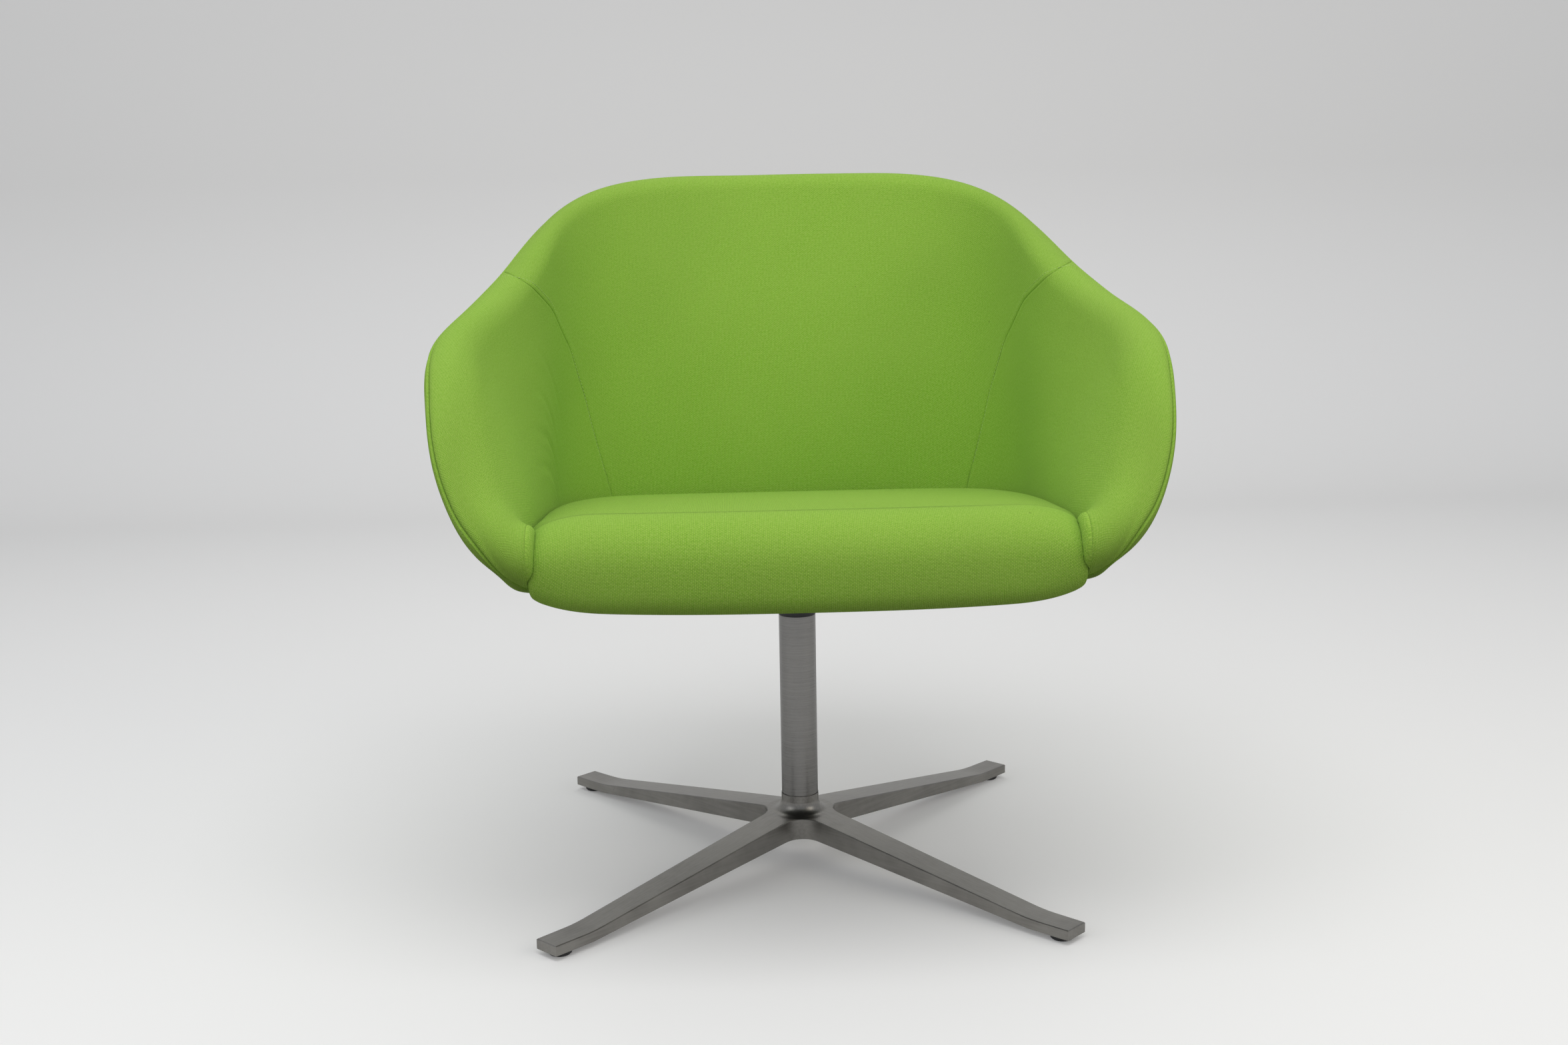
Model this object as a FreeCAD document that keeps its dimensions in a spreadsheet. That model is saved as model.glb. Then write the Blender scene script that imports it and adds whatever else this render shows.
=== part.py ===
import FreeCAD, Part
import Sketcher
import math
import os
from FreeCAD import Vector, Rotation, Placement

# Swivel armchair: an upholstered bucket seat that turns on a four-legged cast base.
# Origin: floor level under the swivel axis. The sitter faces -Y, +Z is up. Millimetres.

os.makedirs("parts", exist_ok=True)
doc = FreeCAD.newDocument("swivel_armchair")
sheet = doc.addObject("Spreadsheet::Sheet", "sizes")

# Driving sizes: alias and value

SIZES = [
    # cast base
    ("leg_reach", 364.6),
    ("leg_tip_width", 29.0),
    ("leg_root_width", 38.0),
    ("leg_root_reach", 38.0),
    ("leg_root_top", 54.0),
    ("leg_root_bottom", 31.0),
    ("leg_tip_top", 16.0),
    ("leg_tip_thickness", 10.4),
    ("leg_level_run", 47.0),
    ("leg_bend_radius", 190.0),
    ("leg_edge_chamfer", 0.8),
    ("crotch_radius", 25.0),
    ("recess_depth", 5.0),
    ("recess_wall", 5.0),
    ("recess_start", 52.0),
    ("recess_end_margin", 62.0),
    ("neck_radius", 20.5),
    ("neck_top", 73.6),
    ("neck_flare", 12.0),
    ("joint_line", 0.7),
    ("joint_radius", 19.3),
    ("spigot_length", 9.0),
    # glides under the leg tips
    ("glide_radius", 11.5),
    ("glide_edge", 1.2),
    ("glide_inset", 17.0),
    ("stud_radius", 3.0),
    ("stud_into_leg", 6.5),
    ("stud_into_glide", 3.5),
    # column
    ("tube_radius", 20.0),
    ("tube_wall", 2.5),
    ("column_drop", 79.0),
    ("plug_length", 26.0),
    ("bolt_radius", 6.0),
    ("bolt_head_radius", 9.5),
    ("bolt_head_height", 7.5),
    ("bolt_washer_radius", 12.0),
    ("bolt_washer_thickness", 2.0),
    ("bolt_pocket_depth", 13.0),
    ("bolt_end_inset", 2.0),
    ("upper_bush_length", 24.0),
    ("bush_flange", 2.6),
    ("lower_bush_length", 18.0),
    ("lower_bush_height", 128.0),
    # swivel
    ("spindle_radius", 12.5),
    ("spindle_tail", 9.0),
    ("running_play", 0.05),
    ("seat_play", 0.02),
    ("ring_width", 3.2),
    ("ring_thickness", 1.5),
    ("ring_groove", 1.0),
    ("hub_foot_radius", 21.0),
    ("hub_head_radius", 33.0),
    ("hub_collar", 16.0),
    ("spindle_grip", 42.0),
    # seat support
    ("seat_tilt", 6.0),
    ("pan_height", 354.5),
    ("plate_width", 180.0),
    ("plate_thickness", 5.0),
    ("plate_corner", 18.0),
    ("plate_bolt_spacing", 150.0),
    ("plate_bolt_radius", 4.0),
    ("plate_bolt_head_radius", 6.5),
    ("plate_bolt_head_height", 5.0),
    ("plate_washer_radius", 9.0),
    ("plate_washer_thickness", 1.6),
    ("board_thickness", 15.0),
    ("board_front", 290.0),
    ("board_edge_gap", 3.0),
    ("board_ear_width", 51.0),
    ("board_ear_front", 258.0),
    ("board_ear_rear", 165.0),
    ("nut_flange_radius", 9.5),
    ("nut_flange_thickness", 1.2),
    ("nut_wall", 1.4),
    ("nut_length", 10.0),
    ("screw_radius", 2.0),
    ("screw_head_radius", 4.2),
    ("screw_head_height", 2.4),
    ("screw_bite", 8.5),
    ("dust_gap", 0.9),
    ("dust_thickness", 1.0),
    ("dust_lap", 12.0),
    ("dust_front", 262.0),
    ("dust_ear_width", 33.0),
    ("dust_hole_margin", 5.0),
    # plan of the seat edge
    ("seat_half_width", 255.0),
    ("seat_side_front", 262.0),
    ("seat_rear", 177.0),
    ("seat_rear_corner", 120.0),
    # shell
    ("rim_overhang", 80.0),
    ("rim_lean", 132.0),
    ("rim_front_rise", 31.5),
    ("rim_rise", 338.0),
    ("roll_radius", 26.0),
    ("wall_lift", 27.3),
    ("foot_length", 62.0),
    ("foot_flat", 40.0),
    ("flange_length", 24.0),
    ("core_thickness", 6.0),
    ("core_flat", 34.0),
    ("core_drop", 8.0),
    ("under_foam", 3.0),
    ("cover_thickness", 1.6),
    ("easy_gap", 0.3),
    ("foam_gap", 0.6),
    ("core_gap", 1.0),
    # cushion
    ("cushion_side_gap", 2.0),
    ("cushion_height", 55.0),
    ("cushion_crown", 6.0),
    ("cushion_nose", 337.8),
    ("cushion_nose_bow", 27.0),
    ("cushion_nose_drop", 39.0),
    ("cushion_nose_lift", 9.0),
    ("cushion_nose_round", 42.0),
    ("cushion_side_round", 20.0),
    ("cushion_rear_round", 14.0),
    ("cushion_rear_height", 46.0),
    ("cushion_under_round", 22.0),
    ("cushion_hem_round", 14.0),
    # shared overrun of cutting tools
    ("cut_overrun", 5.0),
]

for row_number, (alias, value) in enumerate(SIZES, start=1):
    sheet.set("A%d" % row_number, alias)
    sheet.set("B%d" % row_number, str(value))
    sheet.setAlias("B%d" % row_number, alias)
doc.recompute()


class Size:
    """A length that carries its value and the sheet expression that drives it."""

    def __init__(self, value, text):
        self.value = value
        self.text = text

    @staticmethod
    def of(other):
        return other if isinstance(other, Size) else Size(float(other), "(%.9g)" % other)

    def __add__(self, other):
        other = Size.of(other)
        return Size(self.value + other.value, "(%s + %s)" % (self.text, other.text))

    def __sub__(self, other):
        other = Size.of(other)
        return Size(self.value - other.value, "(%s - %s)" % (self.text, other.text))

    def __mul__(self, other):
        other = Size.of(other)
        return Size(self.value * other.value, "(%s * %s)" % (self.text, other.text))

    def __truediv__(self, other):
        other = Size.of(other)
        return Size(self.value / other.value, "(%s / %s)" % (self.text, other.text))

    def __neg__(self):
        return Size(-self.value, "(0 - %s)" % self.text)


class Sizes:
    """Sheet cells by name: one as a Size, or all of them as plain numbers."""

    def __init__(self):
        for name, _ in SIZES:
            number = float(sheet.get(name))
            setattr(self, name, Size(number, "sizes." + name))


s = Sizes()
ZERO = Size(0.0, "0")


class Numbers:
    pass


n = Numbers()
for size_name, _ in SIZES:
    setattr(n, size_name, float(sheet.get(size_name)))


# Distance below which two places count as one
NEAR = 0.001


# Helpers for sketched pieces

def origin_feature(body, role):
    for feature in body.Origin.OriginFeatures:
        if feature.Role == role:
            return feature


def polygon_sketch(body, name, role, points):
    """A closed polygon on an origin plane, each corner bound to the sheet."""
    sketch = body.newObject("Sketcher::SketchObject", name)
    sketch.AttachmentSupport = [(origin_feature(body, role), "")]
    sketch.MapMode = "FlatFace"
    count = len(points)
    for i in range(count):
        start, end = points[i], points[(i + 1) % count]
        sketch.addGeometry(Part.LineSegment(Vector(start[0].value, start[1].value, 0),
                                            Vector(end[0].value, end[1].value, 0)))
    for i in range(count):
        sketch.addConstraint(Sketcher.Constraint("Coincident", i, 2, (i + 1) % count, 1))
    for i, (across, along) in enumerate(points):
        pin_coordinate(sketch, i, "DistanceX", across, -2)
        pin_coordinate(sketch, i, "DistanceY", along, -1)
    return sketch


def pin_coordinate(sketch, i, kind, size, axis):
    if size is ZERO:
        sketch.addConstraint(Sketcher.Constraint("PointOnObject", i, 1, axis))
        return
    index = sketch.addConstraint(Sketcher.Constraint(kind, -1, 1, i, 1, size.value))
    sketch.setExpression("Constraints[%d]" % index, size.text)


def new_body(name):
    body = doc.addObject("PartDesign::Body", name)
    body.Label = name
    return body


def turned(name, points):
    """A body turned about Z from a profile of (radius, height) corners."""
    body = new_body(name)
    sketch = polygon_sketch(body, name + "_profile", "XZ_Plane", points)
    turn = body.newObject("PartDesign::Revolution", name + "_turn")
    turn.Profile = sketch
    turn.ReferenceAxis = (sketch, ["V_Axis"])
    turn.Angle = 360
    body.Tip = turn
    sketch.Visibility = False
    return body


def padded(name, points, height):
    """A body padded up from a plan outline of (x, y) corners."""
    body = new_body(name)
    sketch = polygon_sketch(body, name + "_plan", "XY_Plane", points)
    pad = body.newObject("PartDesign::Pad", name + "_pad")
    pad.Profile = sketch
    pad.Length = height.value
    pad.setExpression("Length", height.text)
    body.Tip = pad
    sketch.Visibility = False
    return body


def ring(name, inner, outer, low, high):
    return turned(name, [(inner, low), (outer, low), (outer, high), (inner, high)])


def disc_stack(name, steps):
    """A turned solid with a closed centre: steps are (radius, low, high) from the bottom up."""
    points = [(ZERO, steps[0][1])]
    for radius, low, high in steps:
        points.append((radius, low))
        points.append((radius, high))
    points.append((ZERO, steps[-1][2]))
    return turned(name, points)


def cylinder(name, radius, low, high, x=None, y=None):
    tool = doc.addObject("Part::Cylinder", name)
    tool.setExpression("Radius", radius.text)
    tool.setExpression("Height", (high - low).text)
    tool.setExpression("Placement.Base.z", low.text)
    if x is not None:
        tool.setExpression("Placement.Base.x", x.text)
        tool.setExpression("Placement.Base.y", y.text)
    return tool


def fuse(name, pieces):
    joined = doc.addObject("Part::MultiFuse", name)
    joined.Shapes = pieces
    return joined


def cut(name, base, tool):
    result = doc.addObject("Part::Cut", name)
    result.Base = base
    result.Tool = tool
    return result


def common(name, base, tool):
    result = doc.addObject("Part::Common", name)
    result.Base = base
    result.Tool = tool
    return result


def solid_feature(name, shape, placement=None):
    feature = doc.addObject("Part::Feature", name)
    feature.Shape = shape
    if placement is not None:
        feature.Placement = placement.multiply(shape.Placement)
    return feature


NODES = {}


def keep(name, feature):
    feature.Label = name
    NODES[name] = feature


# Cast base: a turned body cut to a four-legged star

LEG_COUNT = 4
LEG_TURN = 45.0


def leg_star(name, inset, tip, height):
    """Four crossing legs in plan, inset from the leg sides, on the diagonals."""
    body = new_body(name)
    root_half = s.leg_root_width / 2 - inset
    tip_half = s.leg_tip_width / 2 - inset
    corners = [(ZERO, -root_half), (tip, -tip_half), (tip, tip_half), (ZERO, root_half)]
    sketch = polygon_sketch(body, name + "_plan", "XY_Plane", corners)
    pad = body.newObject("PartDesign::Pad", name + "_pad")
    pad.Profile = sketch
    pad.Length = height.value
    pad.setExpression("Length", height.text)
    doc.recompute()
    legs = body.newObject("PartDesign::PolarPattern", name + "_legs")
    legs.Originals = [pad]
    legs.Axis = (origin_feature(body, "Z_Axis"), [""])
    legs.Angle = 360
    legs.Occurrences = LEG_COUNT
    body.Tip = legs
    body.Placement = Placement(Vector(), Rotation(Vector(0, 0, 1), LEG_TURN))
    sketch.Visibility = False
    return body


level_start = s.leg_reach - s.leg_level_run
tip_bottom = s.leg_tip_top - s.leg_tip_thickness
past_tip = s.leg_reach + s.cut_overrun
tube_foot = s.neck_top + s.joint_line
tube_inner = s.tube_radius - s.tube_wall
spigot_top = tube_foot + s.spigot_length
tube_top = s.pan_height - s.column_drop

casting_turn = turned("casting_turn", [
    (ZERO, s.leg_root_bottom),
    (s.leg_root_reach, s.leg_root_bottom),
    (level_start, tip_bottom),
    (past_tip, tip_bottom),
    (past_tip, s.leg_tip_top),
    (level_start, s.leg_tip_top),
    (s.leg_root_reach, s.leg_root_top),
    (s.neck_radius, s.leg_root_top),
    (s.neck_radius, s.neck_top),
    (s.joint_radius, s.neck_top),
    (s.joint_radius, tube_foot),
    (tube_inner - s.seat_play, tube_foot),
    (tube_inner - s.seat_play, spigot_top),
    (ZERO, spigot_top),
])
doc.recompute()


def ring_edges(shape, radius, height):
    """Names of the round edges about Z at a radius and a height."""
    names = []
    for i, edge in enumerate(shape.Edges, start=1):
        curve = edge.Curve
        if not isinstance(curve, Part.Circle):
            continue
        if abs(curve.Radius - radius) < NEAR and abs(curve.Center.z - height) < NEAR:
            names.append("Edge%d" % i)
    return names


def round_ring(body, name, radius, height, size):
    base = body.Tip
    fillet = body.newObject("PartDesign::Fillet", name)
    fillet.Base = (base, ring_edges(base.Shape, radius, height))
    fillet.Radius = size.value
    fillet.setExpression("Radius", size.text)
    body.Tip = fillet
    doc.recompute()
    return fillet


round_ring(casting_turn, "neck_flare_fillet", n.neck_radius, n.leg_root_top, s.neck_flare)
round_ring(casting_turn, "leg_bend_top", level_start.value, n.leg_tip_top, s.leg_bend_radius)

star_height = spigot_top + s.cut_overrun
star = leg_star("leg_star", ZERO, s.leg_reach, star_height)
doc.recompute()


def crotch_edges(shape):
    """Names of the upright edges where neighbouring legs meet."""
    limit = n.leg_root_width
    names = []
    for i, edge in enumerate(shape.Edges, start=1):
        points = [v.Point for v in edge.Vertexes]
        if len(points) != 2:
            continue
        upright = math.hypot(points[0].x - points[1].x, points[0].y - points[1].y) < NEAR
        if upright and math.hypot(points[0].x, points[0].y) < limit:
            names.append("Edge%d" % i)
    return names


star_legs = star.Tip
crotch = star.newObject("PartDesign::Fillet", "crotch_fillet")
crotch.Base = (star_legs, crotch_edges(star_legs.Shape))
crotch.Radius = s.crotch_radius.value
crotch.setExpression("Radius", s.crotch_radius.text)
star.Tip = crotch
doc.recompute()

casting_blank = common("casting_blank", casting_turn, star)
doc.recompute()


def top_rim_edges(shape):
    """Edges between an upright leg side and the upper skin, outside the flare."""
    flare_end = n.neck_radius + n.neck_flare + NEAR
    picked = []
    for i, edge in enumerate(shape.Edges, start=1):
        middle = edge.valueAt((edge.FirstParameter + edge.LastParameter) / 2)
        if math.hypot(middle.x, middle.y) < flare_end:
            continue
        faces = shape.ancestorsOfType(edge, Part.Face)
        if len(faces) != 2:
            continue
        leans = [abs(face_normal(face, middle).z) for face in faces]
        upper = max(face_normal(face, middle).z for face in faces)
        if min(leans) < NEAR and upper > math.sqrt(0.5):
            picked.append((i, n.leg_edge_chamfer, n.leg_edge_chamfer))
    return picked


def face_normal(face, point):
    u, v = face.Surface.parameter(point)
    return face.normalAt(u, v)


casting_chamfer = doc.addObject("Part::Chamfer", "casting_chamfer")
casting_chamfer.Base = casting_blank
casting_chamfer.Edges = top_rim_edges(casting_blank.Shape)
doc.recompute()

# Long shallow recess under each leg
recess_end = s.leg_reach - s.recess_end_margin


def under_leg(reach):
    """Height of the sloping underside at a reach from the axis."""
    drop = (reach - s.leg_root_reach) * (s.leg_root_bottom - tip_bottom)
    return s.leg_root_bottom - drop / (level_start - s.leg_root_reach)


recess_turn = turned("recess_turn", [
    (s.recess_start, under_leg(s.recess_start) - s.cut_overrun),
    (recess_end, under_leg(recess_end) - s.cut_overrun),
    (recess_end, under_leg(recess_end) + s.recess_depth),
    (s.recess_start, under_leg(s.recess_start) + s.recess_depth),
])
recess_star = leg_star("recess_star", s.recess_wall, s.leg_reach, star_height)
recess = common("leg_recess", recess_turn, recess_star)
pocket_top = s.leg_root_bottom + s.bolt_pocket_depth
bolt_pocket = cylinder("bolt_pocket", s.bolt_washer_radius + s.easy_gap,
                       s.leg_root_bottom - s.cut_overrun, pocket_top)
bolt_bore = cylinder("bolt_bore", s.bolt_radius + s.running_play, pocket_top - s.cut_overrun,
                     spigot_top + s.cut_overrun)
glide_reach = s.leg_reach - s.glide_inset
STUD_ANGLES = [LEG_TURN + 360.0 / LEG_COUNT * i for i in range(LEG_COUNT)]


def on_leg(angle):
    """Plan position of the glide on the leg at an angle."""
    turn = math.radians(angle)
    return glide_reach * math.cos(turn), glide_reach * math.sin(turn)


stud_holes = []
for number, angle in enumerate(STUD_ANGLES, start=1):
    hole_x, hole_y = on_leg(angle)
    stud_holes.append(cylinder("stud_hole_%d" % number, s.stud_radius + s.seat_play,
                               tip_bottom - s.cut_overrun, tip_bottom + s.stud_into_leg,
                               hole_x, hole_y))
casting_tools = fuse("casting_tools", [recess, bolt_pocket, bolt_bore] + stud_holes)
keep("base_casting", cut("base_casting", casting_chamfer, casting_tools))


# Glides with their studs, one of each under every leg tip

def on_every_leg(name, template):
    """The template's solid, made at the first leg, repeated round the axis."""
    doc.recompute()
    copies = []
    for number in range(LEG_COUNT):
        copy = template.Shape.copy()
        copy.rotate(Vector(), Vector(0, 0, 1), 360.0 / LEG_COUNT * number)
        copies.append(copy)
    return solid_feature(name, Part.makeCompound(copies))


first_x, first_y = on_leg(LEG_TURN)
glide_body = cylinder("glide_blank", s.glide_radius, ZERO, tip_bottom, first_x, first_y)
glide_edges = doc.addObject("Part::Chamfer", "glide_edges")
glide_edges.Base = glide_body
doc.recompute()
rims = [i for i, edge in enumerate(glide_body.Shape.Edges, start=1)
        if isinstance(edge.Curve, Part.Circle)]
glide_edges.Edges = [(i, n.glide_edge, n.glide_edge) for i in rims]
stud = cylinder("glide_stud", s.stud_radius, tip_bottom - s.stud_into_glide,
                tip_bottom + s.stud_into_leg - s.easy_gap, first_x, first_y)
stud_seat = cylinder("stud_seat", s.stud_radius, tip_bottom - s.stud_into_glide,
                     tip_bottom + s.cut_overrun, first_x, first_y)
glide = cut("glide", glide_edges, stud_seat)
keep("glides", on_every_leg("glides", glide))
keep("glide_studs", on_every_leg("glide_studs", stud))


# Column: tube, plug, hub bolt and bushes

keep("column_tube", ring("column_tube", tube_inner, s.tube_radius, tube_foot, tube_top))

plug_foot = spigot_top + s.easy_gap
plug_top = plug_foot + s.plug_length
keep("column_plug", ring("column_plug", s.bolt_radius, tube_inner, plug_foot, plug_top))

washer_low = pocket_top - s.bolt_washer_thickness
keep("hub_washer", ring("hub_washer", s.bolt_radius + s.running_play, s.bolt_washer_radius,
                        washer_low, pocket_top))
keep("hub_bolt", disc_stack("hub_bolt", [
    (s.bolt_head_radius, washer_low - s.bolt_head_height, washer_low),
    (s.bolt_radius, washer_low, plug_top - s.bolt_end_inset),
]))

bush_bore = s.spindle_radius + s.running_play
bush_low = tube_top - s.upper_bush_length
flange_top = tube_top + s.bush_flange
keep("upper_bush", turned("upper_bush", [
    (bush_bore, bush_low),
    (tube_inner, bush_low),
    (tube_inner, tube_top),
    (s.tube_radius, tube_top),
    (s.tube_radius, flange_top),
    (bush_bore, flange_top),
]))
lower_bush_top = s.lower_bush_height + s.lower_bush_length
keep("lower_bush", ring("lower_bush", bush_bore, tube_inner, s.lower_bush_height, lower_bush_top))


# Swivel: spindle with its ring, and the hub that carries the seat plate

ring_top = bush_low - s.easy_gap
ring_low = ring_top - s.ring_thickness
groove_radius = s.spindle_radius - s.ring_groove
spindle_low = s.lower_bush_height - s.spindle_tail
spindle_top = flange_top + s.spindle_grip
keep("spindle", disc_stack("spindle", [
    (s.spindle_radius, spindle_low, ring_low),
    (groove_radius, ring_low, ring_top),
    (s.spindle_radius, ring_top, spindle_top),
]))
keep("retaining_ring", ring("retaining_ring", groove_radius, groove_radius + s.ring_width,
                            ring_low, ring_top))

# Everything on the seat lies in planes that tilt back about X through the pan height
PAN = Placement(Vector(0, 0, n.pan_height), Rotation(Vector(1, 0, 0), -n.seat_tilt))

board_low = -s.board_thickness
plate_low = board_low - s.plate_thickness

hub_blank = turned("hub_blank", [
    (ZERO, flange_top),
    (s.hub_foot_radius, flange_top),
    (s.hub_foot_radius, flange_top + s.hub_collar),
    (s.hub_head_radius, s.pan_height - s.board_thickness - s.plate_thickness),
    (s.hub_head_radius, s.pan_height),
    (ZERO, s.pan_height),
])
above_plate = doc.addObject("Part::Box", "above_plate")
for side in ("Length", "Width"):
    above_plate.setExpression(side, "sizes.plate_width")
above_plate.setExpression("Height", "sizes.pan_height")
above_plate.Placement = Placement(
    PAN.multVec(Vector(-n.plate_width / 2, -n.plate_width / 2, plate_low.value)), PAN.Rotation)
hub_trimmed = cut("hub_trimmed", hub_blank, above_plate)
spindle_seat = cylinder("spindle_seat", s.spindle_radius, flange_top - s.cut_overrun, spindle_top)
keep("swivel_hub", cut("swivel_hub", hub_trimmed, spindle_seat))


def square_plan(half):
    return [(-half, -half), (half, -half), (half, half), (-half, half)]


def upright_edges(shape):
    names = []
    for i, edge in enumerate(shape.Edges, start=1):
        points = [v.Point for v in edge.Vertexes]
        if len(points) == 2 and math.hypot(points[0].x - points[1].x, points[0].y - points[1].y) < NEAR:
            names.append("Edge%d" % i)
    return names


def round_corners(body, size):
    base = body.Tip
    fillet = body.newObject("PartDesign::Fillet", body.Name + "_corners")
    fillet.Base = (base, upright_edges(base.Shape))
    fillet.Radius = size.value
    fillet.setExpression("Radius", size.text)
    body.Tip = fillet
    doc.recompute()


def drill(name, base, holes):
    """Cuts round holes, each (x, y, radius), right through a flat piece."""
    doc.recompute()
    box = base.Shape.BoundBox
    tools = []
    for x, y, radius in holes:
        tool = Part.makeCylinder(radius, box.ZLength + 2 * n.cut_overrun,
                                 Vector(x, y, box.ZMin - n.cut_overrun))
        tools.append(tool)
    return base.Shape.cut(tools)


half_spacing = n.plate_bolt_spacing / 2
BOLT_PLACES = [(half_spacing * i, half_spacing * j) for i in (-1, 1) for j in (-1, 1)]

plate_blank = padded("plate_blank", square_plan(s.plate_width / 2), s.plate_thickness)
doc.recompute()
round_corners(plate_blank, s.plate_corner)
bolt_hole = n.plate_bolt_radius + n.easy_gap
plate_shape = drill("plate", plate_blank, [(x, y, bolt_hole) for x, y in BOLT_PLACES])
plate_shape.translate(Vector(0, 0, plate_low.value))
keep("mounting_plate", solid_feature("mounting_plate", plate_shape, PAN))


def at_bolts(name, shape):
    """One copy of a turned piece at every plate bolt, on the tilted pan."""
    copies = []
    for x, y in BOLT_PLACES:
        copy = shape.copy()
        copy.translate(Vector(x, y, 0))
        copies.append(copy)
    return solid_feature(name, Part.makeCompound(copies), PAN)


def round_bar(radius, low, high):
    return Part.makeCylinder(radius, high - low, Vector(0, 0, low))


bolt_washer_low = plate_low.value - n.plate_washer_thickness
washer_shape = round_bar(n.plate_washer_radius, bolt_washer_low, plate_low.value)
washer_shape = washer_shape.cut(round_bar(bolt_hole, bolt_washer_low, plate_low.value))
keep("plate_washers", at_bolts("plate_washers", washer_shape))

bolt_head_low = bolt_washer_low - n.plate_bolt_head_height
nut_top = -n.easy_gap
nut_flange_low = nut_top - n.nut_flange_thickness
bolt_head = round_bar(n.plate_bolt_head_radius, bolt_head_low, bolt_washer_low)
bolt_shank = round_bar(n.plate_bolt_radius, bolt_washer_low, nut_flange_low)
keep("plate_bolts", at_bolts("plate_bolts", bolt_head.fuse(bolt_shank).removeSplitter()))

nut_barrel_radius = n.plate_bolt_radius + n.nut_wall
nut_low = nut_top - n.nut_length
nut_barrel = round_bar(nut_barrel_radius, nut_low, nut_top)
nut_flange = round_bar(n.nut_flange_radius, nut_flange_low, nut_top)
nut_bore = round_bar(n.plate_bolt_radius, nut_low, nut_top)
keep("tee_nuts", at_bolts("tee_nuts", nut_barrel.fuse(nut_flange).cut(nut_bore).removeSplitter()))


# Plan path of the seat edge and stations of the shell round it

REAR_RUN = n.seat_half_width - n.seat_rear_corner
CORNER_RUN = n.seat_rear_corner * math.pi / 2
SIDE_RUN = n.seat_rear - n.seat_rear_corner + n.seat_side_front
HALF_PATH = REAR_RUN + CORNER_RUN + SIDE_RUN
TILT = math.radians(n.seat_tilt)

# Right half of the shell from the front corner to the middle of the back. Each row: place along
# the seat edge (0 rear middle, 1 front), then how far the rim roll's centre lies beyond the seat
# edge sideways, rearwards and upwards as shares of rim_overhang, rim_lean and rim_rise, then
# shares of the roll radius, the foot length and the foot's flat.
STATION_SHARES = [
    (1.000, 0.0000, -0.2133, 0.053, 1.08, 0.10, -0.45),
    (0.992, 0.1876, -0.2522, 0.074, 1.12, 0.20, -0.30),
    (0.977, 0.4012, -0.2714, 0.118, 1.15, 0.42, 0.00),
    (0.952, 0.5980, -0.2784, 0.195, 1.19, 0.75, 0.40),
    (0.914, 0.7739, -0.2901, 0.308, 1.19, 1.00, 0.80),
    (0.865, 0.8995, -0.2336, 0.429, 1.12, 1.00, 1.00),
    (0.791, 0.9874, -0.1373, 0.530, 1.04, 1.00, 1.00),
    (0.690, 0.8241, 0.0218, 0.604, 1.00, 1.00, 1.00),
    (0.574, 0.5687, 0.1384, 0.684, 1.00, 1.00, 1.00),
    (0.464, 0.3718, 0.2107, 0.781, 1.00, 1.00, 1.00),
    (0.380, 0.3530, 0.4496, 0.884, 1.00, 1.00, 1.00),
    (0.295, 0.3382, 0.7060, 0.959, 1.00, 1.00, 1.00),
    (0.198, 0.2188, 0.8853, 0.993, 1.00, 1.00, 1.00),
    (0.106, 0.0574, 0.9766, 0.999, 1.00, 1.00, 1.00),
    (0.000, 0.0000, 1.0000, 1.000, 1.00, 1.00, 1.00),
]


def pan_level(y):
    """Height of the tilted pan plane at a depth."""
    return n.pan_height - y * math.tan(TILT)


def seat_edge(run):
    """Plan point at a run along the seat edge from the rear middle, right half."""
    if run <= REAR_RUN:
        return run, n.seat_rear
    if run <= REAR_RUN + CORNER_RUN:
        turn = (run - REAR_RUN) / n.seat_rear_corner
        return (REAR_RUN + n.seat_rear_corner * math.sin(turn),
                n.seat_rear - n.seat_rear_corner * (1 - math.cos(turn)))
    return n.seat_half_width, n.seat_rear - n.seat_rear_corner - (run - REAR_RUN - CORNER_RUN)


# How high the wall's line to the rim starts, where the wall is low, as a share of its height
WALL_LIFT_SHARE = 0.175


# Section geometry: points are (across, up) pairs in the station's own plane

def add(p, q, scale=1.0):
    return (p[0] + q[0] * scale, p[1] + q[1] * scale)


def unit(p):
    size = math.hypot(p[0], p[1])
    return (p[0] / size, p[1] / size)


def right_of(t):
    return (t[1], -t[0])


def arc_run(start, tangent, end):
    """An arc from start along tangent to end: its three points and their tangents."""
    chord = add(end, start, -1.0)
    along = unit(chord)
    lean = tangent[0] * along[0] + tangent[1] * along[1]
    side = unit(add(tangent, along, -lean))
    turn = math.acos(max(-1.0, min(1.0, lean)))
    middle = add(add(start, chord, 0.5), side, math.hypot(*chord) / 2 * math.tan(turn / 2))
    leaving = add((2 * lean * along[0], 2 * lean * along[1]), tangent, -1.0)
    return [(start, tangent), (middle, along), (end, leaving)]


def biarc(start, t_start, end, t_end):
    """Two arcs that leave start along t_start and reach end along t_end."""
    gap = add(end, start, -1.0)
    total = add(t_start, t_end)
    spread = 2 * (1 - t_start[0] * t_end[0] - t_start[1] * t_end[1])
    across = gap[0] * total[0] + gap[1] * total[1]
    reach = gap[0] ** 2 + gap[1] ** 2
    arm = (-across + math.sqrt(across ** 2 + spread * reach)) / spread
    joint = add(add(start, t_start, arm), add(end, t_end, -arm))
    joint = (joint[0] / 2, joint[1] / 2)
    first = arc_run(start, t_start, joint)
    return [first, arc_run(joint, first[2][1], end)]


def offset(runs, distance):
    """Moves arcs to the right of their direction, concentrically."""
    return [[(add(p, right_of(t), distance), t) for p, t in run] for run in runs]


def reverse(runs):
    return [[(p, (-t[0], -t[1])) for p, t in reversed(run)] for run in reversed(runs)]


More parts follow.
